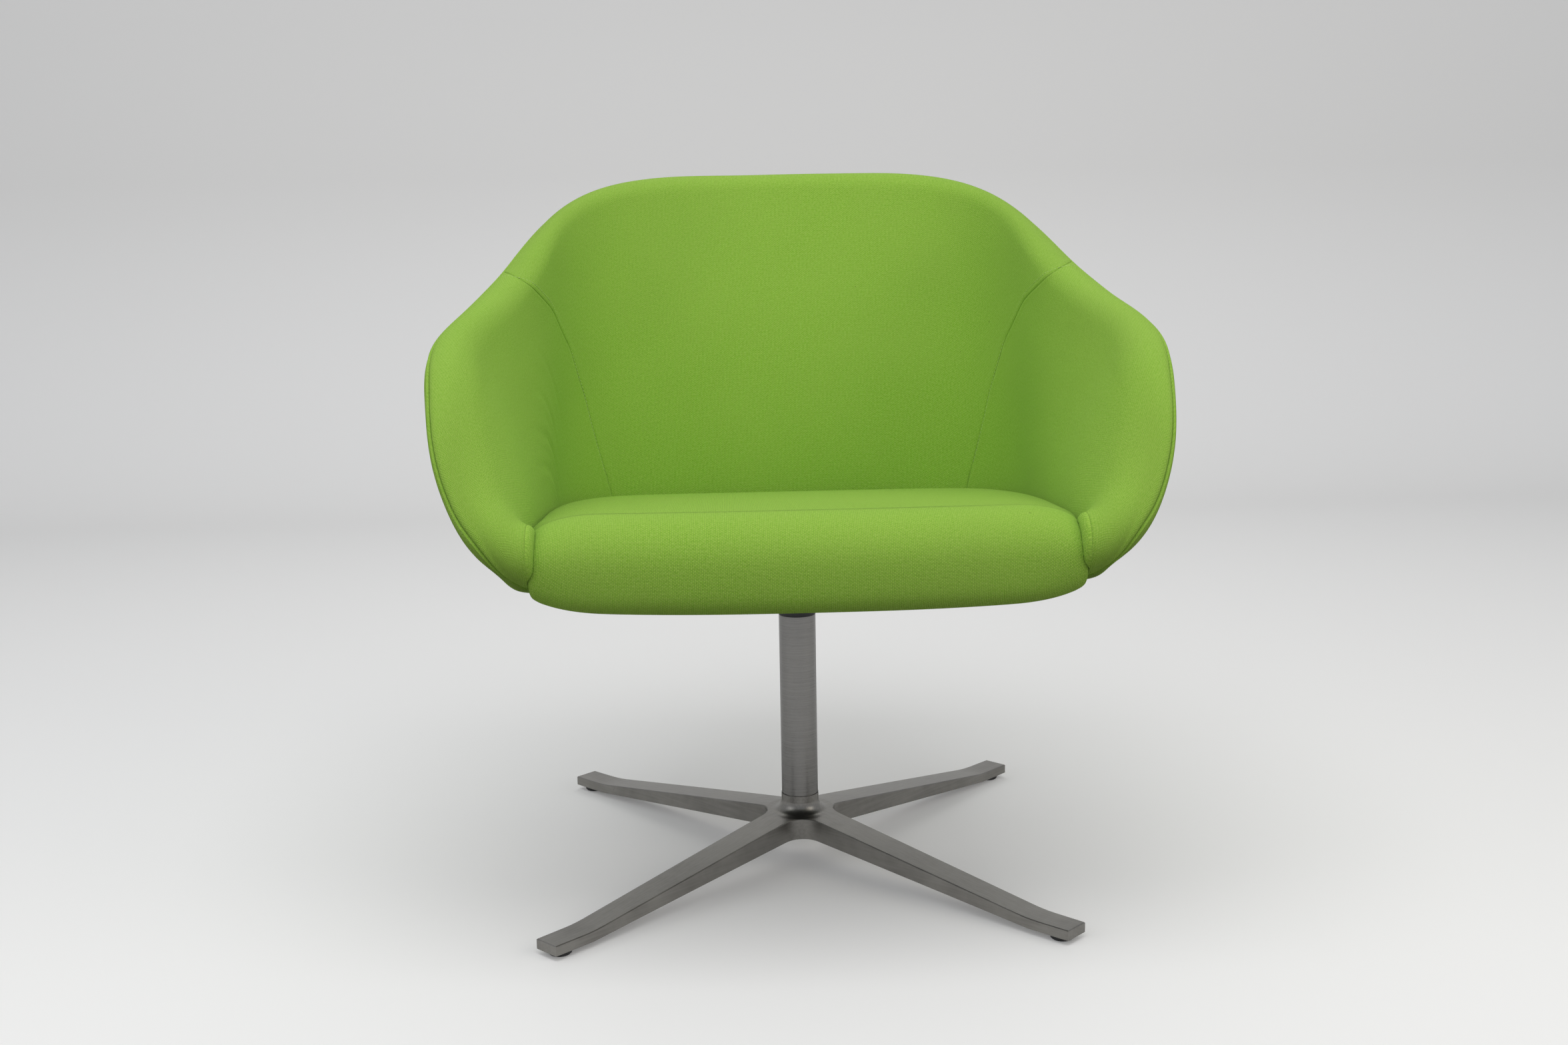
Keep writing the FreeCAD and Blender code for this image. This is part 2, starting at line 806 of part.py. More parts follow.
class Station:
    """One upright section plane through the shell, with its outline runs."""

    def __init__(self, row, mirror):
        run_share, x_share, y_share, z_share, roll_share, foot_share, flat_share = row
        edge_x, edge_y = seat_edge(run_share * HALF_PATH)
        rim_x = edge_x + x_share * n.rim_overhang
        rim_y = edge_y + y_share * n.rim_lean
        rim_z = n.pan_height + n.rim_front_rise + z_share * n.rim_rise
        self.edge = Vector(edge_x * mirror, edge_y, pan_level(edge_y))
        out = Vector((rim_x - edge_x) * mirror, rim_y - edge_y, 0)
        out.z = -out.y * math.tan(TILT)
        self.out = out.normalize()
        plan = Vector(self.out.x, self.out.y, 0).normalize()
        self.up = Vector(0, 0, 1) * plan.dot(self.out) - plan * self.out.z
        to_rim = Vector(rim_x * mirror, rim_y, rim_z) - self.edge
        rim = (to_rim.dot(self.out), to_rim.dot(self.up))
        roll = n.roll_radius * roll_share
        lift = min(n.wall_lift, rim[1] * WALL_LIFT_SHARE)
        wall_up = unit((rim[0], rim[1] - lift))
        wall_out = right_of(wall_up)
        inner_end = add(rim, wall_out, -roll)
        outer_end = add(rim, wall_out, roll)
        crest = add(rim, wall_up, roll)
        down = (-wall_up[0], -wall_up[1])
        self.foot = n.foot_length * foot_share
        self.flange = n.flange_length * foot_share
        flat_end = (-n.foot_flat * flat_share, -SHELL_DEPTH)
        self.inner = biarc((0.0, 0.0), (0.0, 1.0), inner_end, wall_up)
        rise = arc_run(inner_end, wall_up, crest)
        seam = add(rim, unit(add(wall_up, wall_out)), roll)
        self.seam = arc_run(crest, wall_out, seam)
        fall = arc_run(seam, self.seam[2][1], outer_end)
        self.roll_inner = [rise, self.seam]
        self.roll_outer = [fall]
        self.outer = biarc(outer_end, down, flat_end, (-1.0, 0.0))
        core_end = add(rim, down, n.core_drop)
        self.core_level = -SHELL_DEPTH + CORE_STACK
        self.core = biarc((-n.core_flat * foot_share, self.core_level), (1.0, 0.0), core_end, wall_up)
        self.core_end = core_end
        self.wall_up = wall_up

    def place(self, p):
        return self.edge + self.out * p[0] + self.up * p[1]

    def wire(self, pieces):
        """A closed wire from runs of arcs and single corner points."""
        edges = []
        first = last = None
        for piece in pieces:
            if isinstance(piece, tuple):
                point = self.place(piece)
                if last is not None:
                    edges.append(Part.LineSegment(last, point).toShape())
                first = first or point
                last = point
                continue
            for run in piece:
                a, b, c = [self.place(p) for p, _ in run]
                if last is not None and (a - last).Length > NEAR:
                    edges.append(Part.LineSegment(last, a).toShape())
                first = first or a
                edges.append(Part.Arc(a, b, c).toShape())
                last = c
        edges.append(Part.LineSegment(last, first).toShape())
        return Part.Wire(edges)


CORE_STACK = n.cover_thickness + n.foam_gap + n.under_foam + n.core_gap + n.core_thickness / 2
SHELL_DEPTH = CORE_STACK + n.core_thickness / 2 + n.board_thickness

STATIONS = [Station(row, 1) for row in STATION_SHARES]
STATIONS += [Station(row, -1) for row in reversed(STATION_SHARES[:-1])]


def core_wire(st):
    half = n.core_thickness / 2
    tail = -(st.foot + st.flange)
    outside = offset(st.core, half)
    inside = reverse(offset(st.core, -half))
    return st.wire([(tail, st.core_level - half), outside, inside, (tail, st.core_level + half)])


def foam_wire(st):
    skin = n.cover_thickness + n.foam_gap
    half = n.core_thickness / 2 + n.core_gap
    lid = add(st.core_end, st.wall_up, n.core_gap)
    lid_out = add(lid, right_of(st.wall_up), half)
    lid_in = add(lid, right_of(st.wall_up), -half)
    return st.wire([
        (-st.foot, -n.easy_gap), (skin, -n.easy_gap),
        offset(st.inner, skin), offset(st.roll_inner, skin), offset(st.roll_outer, skin),
        offset(st.outer, skin),
        (-st.foot, -SHELL_DEPTH + skin),
        (-st.foot, st.core_level - half),
        offset(st.core, half), lid_out, lid_in, reverse(offset(st.core, -half)),
        (-st.foot, st.core_level + half),
    ])


def inner_cover_wire(st):
    runs = st.inner + st.roll_inner
    return st.wire([runs, reverse(offset(runs, n.cover_thickness))])


def outer_cover_wire(st):
    runs = st.roll_outer + st.outer
    runs = seam_gap(runs)
    return st.wire([
        runs, (-st.foot, -SHELL_DEPTH),
        (-st.foot, -SHELL_DEPTH + n.cover_thickness), reverse(offset(runs, n.cover_thickness)),
    ])


def seam_gap(runs):
    """Starts the outer cover a cloth gap past the seam, by drawing its first arc back a little."""
    first = runs[0]
    start, tangent = first[0]
    middle, mid_tangent = first[1]
    end, end_tangent = first[2]
    moved = add(start, tangent, n.easy_gap)
    bent = add(moved, right_of(tangent), n.easy_gap ** 2 / (2 * n.roll_radius))
    return [[(bent, tangent), (middle, mid_tangent), (end, end_tangent)]] + runs[1:]


LOFT_DEGREE = 5


def loft(wires):
    return Part.makeLoft(wires, True, False, False, LOFT_DEGREE)


core_shape = loft([core_wire(st) for st in STATIONS])
keep("shell_foam", solid_feature("shell_foam", loft([foam_wire(st) for st in STATIONS])))
keep("cover_outer", solid_feature("cover_outer", loft([outer_cover_wire(st) for st in STATIONS])))

# The inner cover is sewn from three panels. Each inner seam is drawn as seen from inside along
# the level direction at SEAM_TURN, in pairs: sideways as a share of the rim's reach behind the
# axis, and upward from the pan as a share of the rim's highest rise above it.
SEAM_TURN = 143.0
SEAM_PATH_SHARES = [
    (0.030, -0.1434), (0.006, 0.1136), (-0.067, 0.4127), (-0.141, 0.5701),
    (-0.275, 0.6972), (-0.427, 0.7622), (-0.502, 0.7859), (-0.518, 1.0914),
]
inner_cover = loft([inner_cover_wire(st) for st in STATIONS])


def seam_slot():
    """A thin wall along the left inner seam, as thick as the cloth gap."""
    turn = math.radians(SEAM_TURN)
    outward = Vector(math.cos(turn), math.sin(turn), 0)
    sideways = Vector(outward.y, -outward.x, 0)
    reach = n.seat_rear + n.rim_lean
    corners = []
    for shift, row in ((-1, SEAM_PATH_SHARES), (1, SEAM_PATH_SHARES[::-1])):
        for across, rise in row:
            across = across * reach + shift * n.easy_gap / 2
            height = n.pan_height + rise * (n.rim_front_rise + n.rim_rise)
            corners.append(sideways * across + Vector(0, 0, height))
    face = Part.Face(Part.makePolygon(corners + corners[:1]))
    return face.extrude(outward * 2 * reach)


left_slot = seam_slot()
panels = inner_cover.cut([left_slot, left_slot.mirror(Vector(), Vector(1, 0, 0))]).Solids
panels.sort(key=lambda panel: panel.CenterOfMass.x)
for name, panel in zip(("cover_arm_left", "cover_back", "cover_arm_right"), panels):
    keep(name, solid_feature(name, panel))


# Seat board on the core's flange, with its screws

def line_between(a, b):
    return Part.LineSegment(a, b).toShape()


def board_outline(inset, front, ear_width):
    """Plan outline in the pan plane: wide front ears, round rear corners, inset from the seat edge."""
    half = n.seat_half_width - inset
    rear = n.seat_rear / math.cos(TILT) - inset
    corner = n.seat_rear_corner - inset
    bend = math.sqrt(0.5) * corner
    centre_x = half - corner
    centre_y = rear - corner
    ear = half + ear_width
    right = [Vector(ear, -front, 0), Vector(ear, -n.board_ear_front, 0),
             Vector(half, -n.board_ear_rear, 0), Vector(half, centre_y, 0)]
    left = [Vector(-p.x, p.y, 0) for p in reversed(right)]
    edges = [line_between(a, b) for a, b in zip(right, right[1:])]
    edges.append(Part.Arc(right[-1], Vector(centre_x + bend, centre_y + bend, 0),
                          Vector(centre_x, rear, 0)).toShape())
    edges.append(line_between(Vector(centre_x, rear, 0), Vector(-centre_x, rear, 0)))
    edges.append(Part.Arc(Vector(-centre_x, rear, 0), Vector(-centre_x - bend, centre_y + bend, 0),
                          left[0]).toShape())
    edges += [line_between(a, b) for a, b in zip(left, left[1:])]
    edges.append(line_between(left[-1], right[0]))
    return Part.Face(Part.Wire(edges))


board_rise = Vector(0, 0, n.board_thickness - n.easy_gap)
board_plan = board_outline(n.foot_length + n.board_edge_gap, n.board_front, n.board_ear_width)
board_shape = board_plan.extrude(board_rise)
board_shape.translate(Vector(0, 0, -n.board_thickness + n.easy_gap))

# Screw places along the flange's middle, as shares of the seat depth on each side and of the rear
SIDE_SCREW_SHARES = (-0.66, -0.25, 0.16)
REAR_SCREW_SHARES = (-0.45, 0.0, 0.45)
flange_middle = n.foot_length + n.flange_length / 2
screw_half = n.seat_half_width - flange_middle
SCREW_PLACES = [(side * screw_half, share * n.seat_side_front)
                for side in (-1, 1) for share in SIDE_SCREW_SHARES]
SCREW_PLACES += [(share * REAR_RUN, n.seat_rear / math.cos(TILT) - flange_middle)
                 for share in REAR_SCREW_SHARES]
flange_low = -n.board_thickness - n.core_thickness


def screw_tools(radius):
    low = flange_low - n.cut_overrun
    high = -n.board_thickness + n.screw_bite + n.easy_gap
    return [Part.makeCylinder(radius, high - low, Vector(x, y, low)) for x, y in SCREW_PLACES]


def tilted(shapes):
    placed = []
    for shape in shapes:
        copy = shape.copy()
        copy.Placement = PAN.multiply(copy.Placement)
        placed.append(copy)
    return placed


screw_hole = n.screw_radius + n.seat_play
barrel_hole = round_bar(nut_barrel_radius + n.seat_play, -n.board_thickness - n.cut_overrun,
                        n.cut_overrun)
flange_hole = round_bar(n.nut_flange_radius + n.easy_gap, nut_flange_low, n.cut_overrun)
board_tools = screw_tools(screw_hole)
for x, y in BOLT_PLACES:
    for tool in (barrel_hole, flange_hole):
        copy = tool.copy()
        copy.translate(Vector(x, y, 0))
        board_tools.append(copy)
keep("seat_board", solid_feature("seat_board", board_shape.cut(board_tools), PAN))
keep("shell_core", solid_feature("shell_core", core_shape.cut(tilted(screw_tools(screw_hole)))))

screws = []
head_high = flange_low - n.seat_play
head_low = head_high - n.screw_head_height
shank_length = -n.board_thickness + n.screw_bite - head_high
for x, y in SCREW_PLACES:
    head = Part.makeCylinder(n.screw_head_radius, n.screw_head_height, Vector(x, y, head_low))
    shank = Part.makeCylinder(n.screw_radius, shank_length, Vector(x, y, head_high))
    screws.append(head.fuse(shank).removeSplitter())
keep("board_screws", solid_feature("board_screws", Part.makeCompound(screws), PAN))

# Dust cover: a cloth sheet that laps the shell's foot, with a hole round the hub
dust_low = -SHELL_DEPTH - n.dust_gap - n.dust_thickness
dust_plan = board_outline(n.foot_length - n.dust_lap, n.dust_front, n.dust_ear_width)
dust_shape = dust_plan.extrude(Vector(0, 0, n.dust_thickness))
dust_shape.translate(Vector(0, 0, dust_low))
dust_hole = round_bar(n.hub_head_radius + n.dust_hole_margin, dust_low - n.cut_overrun, 0)
keep("dust_cover", solid_feature("dust_cover", dust_shape.cut(dust_hole), PAN))


# Seat cushion: a foam block with a crowned top, rolled front and drawn-in sides, in a sewn cover

# Places of the upright sections across the cushion, as shares of its half width
CUSHION_SHARES = [1.0, 0.995, 0.98, 0.955, 0.92, 0.86, 0.76, 0.62, 0.42, 0.2, 0.0]
ACROSS_SHARES = [-share for share in CUSHION_SHARES] + CUSHION_SHARES[-2::-1]

# Share of the side round by which the top drops there, and how far a quarter round's middle
# lies from its square corner
SIDE_DROP_SHARE = 0.8
CORNER_SHARE = 1 - math.sqrt(0.5)

# How sharply the nose draws back and its underside lifts towards the sides
NOSE_BOW_POWER = 2.5
NOSE_LIFT_POWER = 3


def cushion_wire(across_share, inset):
    """Section of the cushion at a share of its half width, drawn in by an inset."""
    half = n.seat_half_width - n.cushion_side_gap
    spread = abs(across_share)
    from_centre = spread * half
    past = max(0.0, from_centre - (half - n.cushion_side_round)) / n.cushion_side_round
    drop = n.cushion_side_round * SIDE_DROP_SHARE * (1 - math.sqrt(1 - min(1.0, past) ** 2))
    corner_x = max(0.0, from_centre - REAR_RUN)
    rear_y = n.seat_rear - n.seat_rear_corner + math.sqrt(n.seat_rear_corner ** 2 - corner_x ** 2)
    rear = rear_y / math.cos(TILT) - n.cushion_side_gap - inset
    nose = -n.cushion_nose + n.cushion_nose_bow * spread ** NOSE_BOW_POWER + inset
    nose_low = -n.cushion_nose_drop + n.cushion_nose_lift * spread ** NOSE_LIFT_POWER + inset
    behind_nose = -n.board_front - 2 * n.easy_gap - inset
    low = n.easy_gap + inset
    rear_top = n.cushion_rear_height - drop - inset
    front_top = n.cushion_height - drop - inset
    rear_round = n.cushion_rear_round - inset
    tip = (nose, (nose_low + front_top) / 2)
    brow = (nose + n.cushion_nose_round - inset, front_top)
    chin = (nose + n.cushion_under_round - inset, nose_low)
    hem = (behind_nose, nose_low + n.cushion_hem_round - inset)
    nape = (rear - rear_round, rear_top)
    rear_edge = (rear, rear_top - rear_round)
    crown_mid = ((brow[0] + nape[0]) / 2, (rear_top + front_top) / 2 + n.cushion_crown)
    crown_in = unit(add(crown_mid, brow, -1.0))
    forward, down, back, rise = (-1.0, 0.0), (0.0, -1.0), (1.0, 0.0), (0.0, 1.0)
    runs = biarc(brow, (-crown_in[0], -crown_in[1]), tip, down)
    runs += biarc(tip, down, chin, back)
    runs += biarc(chin, back, hem, rise)
    x = across_share * (half - inset)

    def place(p):
        return PAN.multVec(Vector(x, p[0], p[1]))

    edges = [Part.Arc(*[place(p) for p, _ in run]).toShape() for run in runs]
    edges.append(line_between(place(hem), place((behind_nose, low))))
    edges.append(line_between(place((behind_nose, low)), place((rear, low))))
    edges.append(line_between(place((rear, low)), place(rear_edge)))
    rear_mid = (rear - rear_round * CORNER_SHARE, rear_top - rear_round * CORNER_SHARE)
    edges.append(Part.Arc(place(rear_edge), place(rear_mid), place(nape)).toShape())
    edges.append(Part.Arc(place(nape), place(crown_mid), place(brow)).toShape())
    return Part.Wire(edges)


def cushion(inset):
    return loft([cushion_wire(share, inset) for share in ACROSS_SHARES])


cushion_outer = cushion(0.0)
cushion_hollow = cushion(n.cover_thickness)
cushion_foam = cushion(n.cover_thickness + n.easy_gap)
keep("seat_cover", solid_feature("seat_cover", cushion_outer.cut(cushion_hollow)))
keep("seat_foam", solid_feature("seat_foam", cushion_foam))


# Every object is checked before anything is written

doc.recompute()
for item in doc.Objects:
    if "Invalid" in item.State or "Error" in item.State:
        raise RuntimeError("%s is %s" % (item.Name, item.State))
for name, feature in NODES.items():
    shape = feature.Shape
    if shape.isNull() or not shape.isValid():
        raise RuntimeError("%s has no valid shape" % name)

for name, feature in NODES.items():
    feature.Shape.exportStep("parts/%s.step" % name)
    box = feature.Shape.BoundBox
    print("%-16s %2d solids %12.1f mm3  x %.1f..%.1f y %.1f..%.1f z %.1f..%.1f" % (
        name, len(feature.Shape.Solids), feature.Shape.Volume,
        box.XMin, box.XMax, box.YMin, box.YMax, box.ZMin, box.ZMax))
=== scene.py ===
# Looks of the swivel armchair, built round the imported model. Metres, +Z up, the sitter faces -Y.
# Left and right are as seen from the front.

import math

import bpy
import numpy as np
from mathutils import Matrix, Vector, noise
from mathutils.bvhtree import BVHTree


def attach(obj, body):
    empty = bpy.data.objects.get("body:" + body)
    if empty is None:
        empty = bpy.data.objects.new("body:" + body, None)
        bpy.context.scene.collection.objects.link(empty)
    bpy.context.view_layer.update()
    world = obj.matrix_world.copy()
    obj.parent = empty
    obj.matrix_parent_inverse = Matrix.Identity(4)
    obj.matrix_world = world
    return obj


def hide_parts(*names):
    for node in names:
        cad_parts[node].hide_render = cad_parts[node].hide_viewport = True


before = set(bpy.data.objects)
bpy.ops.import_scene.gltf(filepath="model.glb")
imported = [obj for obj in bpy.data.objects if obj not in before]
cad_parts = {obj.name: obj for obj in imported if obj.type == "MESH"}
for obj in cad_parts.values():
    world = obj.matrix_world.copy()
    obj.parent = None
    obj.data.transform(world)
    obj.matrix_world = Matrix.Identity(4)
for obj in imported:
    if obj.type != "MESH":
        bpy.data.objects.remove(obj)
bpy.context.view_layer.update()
MM = 0.001


# Node helpers

class Nodes:
    """Short calls for building a material's node tree."""

    def __init__(self, name):
        self.mat = bpy.data.materials.new(name)
        self.mat.use_nodes = True
        self.tree = self.mat.node_tree
        self.bsdf = self.tree.nodes["Principled BSDF"]

    def add(self, kind, **settings):
        node = self.tree.nodes.new(kind)
        for key, value in settings.items():
            setattr(node, key, value)
        return node

    def put(self, socket, value):
        if isinstance(value, bpy.types.NodeSocket):
            self.tree.links.new(value, socket)
        else:
            socket.default_value = value

    def math(self, op, a, b=0.0):
        node = self.add("ShaderNodeMath", operation=op)
        self.put(node.inputs[0], a)
        self.put(node.inputs[1], b)
        return node.outputs[0]

    def plus(self, total, *values):
        for value in values:
            total = self.math("ADD", total, value)
        return total

    def times(self, product, *factors):
        for factor in factors:
            product = self.math("MULTIPLY", product, factor)
        return product

    def mix(self, factor, a, b):
        node = self.add("ShaderNodeMix", data_type="RGBA")
        self.put(node.inputs[0], factor)
        self.put(node.inputs[6], a)
        self.put(node.inputs[7], b)
        return node.outputs[2]

    def ramp(self, value, low, high, out_low=0.0, out_high=1.0):
        node = self.add("ShaderNodeMapRange")
        for socket, v in zip(node.inputs, (value, low, high, out_low, out_high)):
            self.put(socket, v)
        return node.outputs[0]

    def tint(self, base, value, low, high, share, colour):
        """Blend a share of a colour over the base where a value rises from low to high."""
        return self.mix(self.ramp(value, low, high, 0.0, share), base, colour)

    def noise(self, vector, scale, detail=2.0, roughness=0.5):
        node = self.add("ShaderNodeTexNoise")
        self.put(node.inputs["Vector"], vector)
        node.inputs["Scale"].default_value = scale
        node.inputs["Detail"].default_value = detail
        node.inputs["Roughness"].default_value = roughness
        return node.outputs["Fac"]

    def scaled(self, vector, factors):
        node = self.add("ShaderNodeVectorMath", operation="MULTIPLY")
        self.put(node.inputs[0], vector)
        node.inputs[1].default_value = factors
        return node.outputs[0]

    def split(self, vector):
        node = self.add("ShaderNodeSeparateXYZ")
        self.put(node.inputs[0], vector)
        return node.outputs

    def position(self):
        return self.add("ShaderNodeNewGeometry").outputs["Position"]

    def bump(self, height, distance, strength):
        node = self.add("ShaderNodeBump")
        node.inputs["Strength"].default_value = strength
        node.inputs["Distance"].default_value = distance
        self.put(node.inputs["Height"], height)
        return node.outputs[0]

    def surface(self, inputs):
        """Set or link the surface's inputs by name and return the material."""
        for name, value in inputs.items():
            self.put(self.bsdf.inputs[name], value)
        return self.mat


def rgb(r, g, b):
    """A colour written in picture values from 0 to 255."""
    def linear(c):
        c /= 255
        return c / 12.92 if c <= 0.04045 else ((c + 0.055) / 1.055) ** 2.4
    return (linear(r), linear(g), linear(b), 1.0)


# Materials

WARP_PITCH, WEFT_PITCH, YARN_WANDER = 1.65 * MM, 1.29 * MM, 0.8 * MM

# Where the cushion is soiled, in metres: from its foot up, and from its left side inwards
SOIL_HEIGHTS, SOIL_SIDES = (0.352, 0.392), (-0.26, -0.02)


def green_cloth(name, soil=False):
    """Worn wool weave: warp ribs crossed by weft picks, laid out on the UV map in metres."""
    m = Nodes(name)
    uv = m.add("ShaderNodeUVMap", uv_map="weave").outputs[0]
    place = m.position()
    wander = m.times(m.plus(m.noise(uv, 55.0, 1.0), -0.5), YARN_WANDER)
    u, v, _ = m.split(uv)
    warp, weft = (m.math("SINE", m.times(m.math("DIVIDE", m.plus(at, wander), pitch), math.pi))
                  for at, pitch in ((u, WARP_PITCH), (v, WEFT_PITCH)))
    over = m.times(warp, weft)
    knuckle, rib = m.math("ABSOLUTE", over), m.math("ABSOLUTE", warp)
    side = m.ramp(over, -0.25, 0.25)
    yarn = m.noise(m.scaled(uv, (420.0, 420.0, 0.0)), 1.0, 3.0, 0.65)
    fuzz = m.plus(m.noise(place, 900.0, 3.0, 0.7), -0.5)
    height = m.plus(m.times(knuckle, 0.55), m.times(rib, 0.25), m.times(side, 0.2), m.times(fuzz, 0.5))
    base = m.mix(m.ramp(side, 0.0, 1.0, 0.25, 0.75), rgb(128, 182, 52), rgb(162, 204, 74))
    # Painted shade: the colour darkens where the weave dips between the yarns.
    base = m.mix(m.ramp(knuckle, 0.0, 0.5, 0.55, 0.0), base, rgb(92, 136, 34))
    base = m.tint(base, yarn, 0.35, 0.7, 0.35, rgb(192, 220, 112))
    base = m.tint(base, m.noise(place, 7.0, 3.0, 0.55), 0.35, 0.7, 0.3, rgb(156, 192, 80))
    base = m.tint(base, m.noise(place, 3.1, 2.0, 0.5), 0.5, 0.75, 0.22, rgb(126, 160, 66))
    speck = m.add("ShaderNodeTexVoronoi", feature="F1")
    m.put(speck.inputs["Vector"], place)
    speck.inputs["Scale"].default_value = 34.0
    dot = m.ramp(speck.outputs["Distance"], 0.022, 0.036, 1.0, 0.0)
    rare = m.ramp(m.split(speck.outputs["Color"])[0], 0.86, 0.88)
    base = m.mix(m.times(dot, rare, 0.55), base, rgb(92, 96, 40))
    if soil:
        x, _, z = m.split(place)
        low = m.ramp(z, *SOIL_HEIGHTS, 1.0, 0.0)
        left = m.ramp(x, *SOIL_SIDES, 1.0, 0.15)
        grime = m.ramp(m.noise(place, 14.0, 4.0, 0.6), 0.42, 0.66)
        base = m.mix(m.times(low, left, grime, 0.42), base, rgb(104, 98, 46))
    return m.surface({"Base Color": base, "Roughness": 0.93, "Specular IOR Level": 0.18,
                      "Sheen Weight": 0.22, "Sheen Roughness": 0.45, "Sheen Tint": rgb(206, 236, 140),
                      "Normal": m.bump(height, 0.6 * MM, 0.75)})


def thread():
    """Twisted sewing thread, a little paler than the cloth."""
    m = Nodes("seam_thread")
    twist = m.add("ShaderNodeTexWave", wave_type="BANDS", bands_direction="DIAGONAL")
    m.put(twist.inputs["Vector"], m.position())
    twist.inputs["Scale"].default_value = 700.0
    bands = twist.outputs["Fac"]
    return m.surface({"Base Color": m.mix(bands, rgb(168, 200, 104), rgb(206, 228, 150)),
                      "Roughness": 0.6, "Normal": m.bump(bands, 0.1 * MM, 0.5)})


def cast_metal():
    """Satin cast aluminium, brushed along the legs, with scuffs."""
    m = Nodes("satin_cast_aluminium")
    place = m.position()
    x, y, z = m.split(place)
    x, y = m.math("ABSOLUTE", x), m.math("ABSOLUTE", y)
    combine = m.add("ShaderNodeCombineXYZ")
    lengths = m.times(m.plus(x, y), 9.0), m.times(m.math("SUBTRACT", x, y), 420.0), m.times(z, 420.0)
    for socket, value in zip(combine.inputs, lengths):
        m.put(socket, value)
    grain = m.noise(combine.outputs[0], 1.0, 3.0, 0.6)
    patch = m.noise(place, 16.0, 4.0, 0.6)
    fine = m.noise(place, 900.0, 2.0, 0.6)
    base = m.mix(m.ramp(patch, 0.35, 0.7), rgb(118, 116, 112), rgb(144, 142, 137))
    base = m.tint(base, grain, 0.3, 0.75, 0.3, rgb(164, 162, 158))
    scuffs = m.ramp(m.noise(m.scaled(place, (60.0, 160.0, 60.0)), 1.0, 5.0, 0.7), 0.68, 0.74)
    base = m.mix(m.times(scuffs, 0.4), base, rgb(104, 103, 102))
    height = m.plus(m.times(grain, 0.6), m.times(fine, 0.4))
    return m.surface({"Base Color": base, "Metallic": 1.0,
                      "Roughness": m.plus(m.ramp(patch, 0.3, 0.7, 0.32, 0.42), m.times(scuffs, 0.15)),
                      "Normal": m.bump(height, 0.1 * MM, 0.25)})


def brushed_steel(name, around=True, tone=0):
    """Steel brushed round its axis (around) or a plain turned finish."""
    m = Nodes(name)
    place = m.position()
    factors = (26.0, 26.0, 1500.0) if around else (300.0, 300.0, 300.0)
    grain = m.noise(m.scaled(place, factors), 1.0, 3.0, 0.6)
    smear = m.noise(m.scaled(place, (60.0, 60.0, 9.0)), 1.0, 3.0, 0.6)
    base = m.mix(grain, rgb(158 + tone, 157 + tone, 155 + tone), rgb(196 + tone, 195 + tone, 193 + tone))
    base = m.tint(base, smear, 0.5, 0.8, 0.25, rgb(132, 129, 124))
    return m.surface({"Base Color": base, "Metallic": 1.0, "Anisotropic": 0.5 if around else 0.0,
                      "Roughness": m.ramp(grain, 0.2, 0.8, 0.24, 0.36),
                      "Normal": m.bump(grain, 0.04 * MM, 0.35)})


def black(name, roughness, grain_size):
    """Black coated metal or moulded plastic with a little dust."""
    m = Nodes(name)
    place = m.position()
    grain = m.noise(place, grain_size, 3.0, 0.6)
    base = m.tint(rgb(26, 26, 27), m.noise(place, 30.0, 4.0, 0.6), 0.5, 0.8, 0.35, rgb(58, 57, 55))
    rough = m.ramp(grain, 0.3, 0.7, roughness - 0.08, roughness + 0.08)
    return m.surface({"Base Color": base, "Roughness": rough, "Normal": m.bump(grain, 0.1 * MM, 0.3)})


PLY_PITCH, PLY_TILT = 3.0 * MM, 0.105


def plywood():
    """Birch plywood with its plies showing on cut edges, in the tilt of the seat."""
    m = Nodes("birch_plywood")
    place = m.position()
    _, y, z = m.split(place)
    grain = m.noise(m.scaled(place, (12.0, 190.0, 190.0)), 1.0, 4.0, 0.6)
    level = m.plus(z, m.times(y, PLY_TILT))
    plies = m.math("SINE", m.times(level, 2 * math.pi / PLY_PITCH))
    base = m.mix(grain, rgb(196, 164, 118), rgb(222, 196, 152))
    base = m.tint(base, plies, 0.2, 0.8, 0.35, rgb(150, 116, 76))
    return m.surface({"Base Color": base, "Roughness": 0.7, "Normal": m.bump(grain, 0.3 * MM, 0.3)})


DOT_TURNS = 2600.0


def black_cloth():
    """Thin non-woven cloth: pressed fibres with a fine dot pattern."""
    m = Nodes("black_dust_cloth")
    place = m.position()
    x, y, _ = m.split(place)
    dots = m.times(m.math("SINE", m.times(x, DOT_TURNS)), m.math("SINE", m.times(y, DOT_TURNS)))
    fibre = m.noise(m.scaled(place, (900.0, 260.0, 900.0)), 1.0, 4.0, 0.7)
    return m.surface({"Base Color": m.mix(fibre, rgb(16, 16, 17), rgb(44, 44, 46)),
                      "Roughness": 0.88, "Sheen Weight": 0.15,
                      "Normal": m.bump(m.plus(m.times(dots, 0.5), fibre), 0.3 * MM, 0.4)})


CLOTH = green_cloth("green_wool")
CUSHION_CLOTH = green_cloth("green_wool_cushion", soil=True)
THREAD = thread()
CAST = cast_metal()
TUBE = brushed_steel("brushed_tube_steel", tone=-56)
STEEL = brushed_steel("plain_steel", around=False, tone=-10)
BLACK_METAL = black("black_coated_steel", 0.45, 600.0)
BLACK_PLASTIC = black("black_moulded_plastic", 0.55, 900.0)
PLYWOOD = plywood()
DUST_CLOTH = black_cloth()

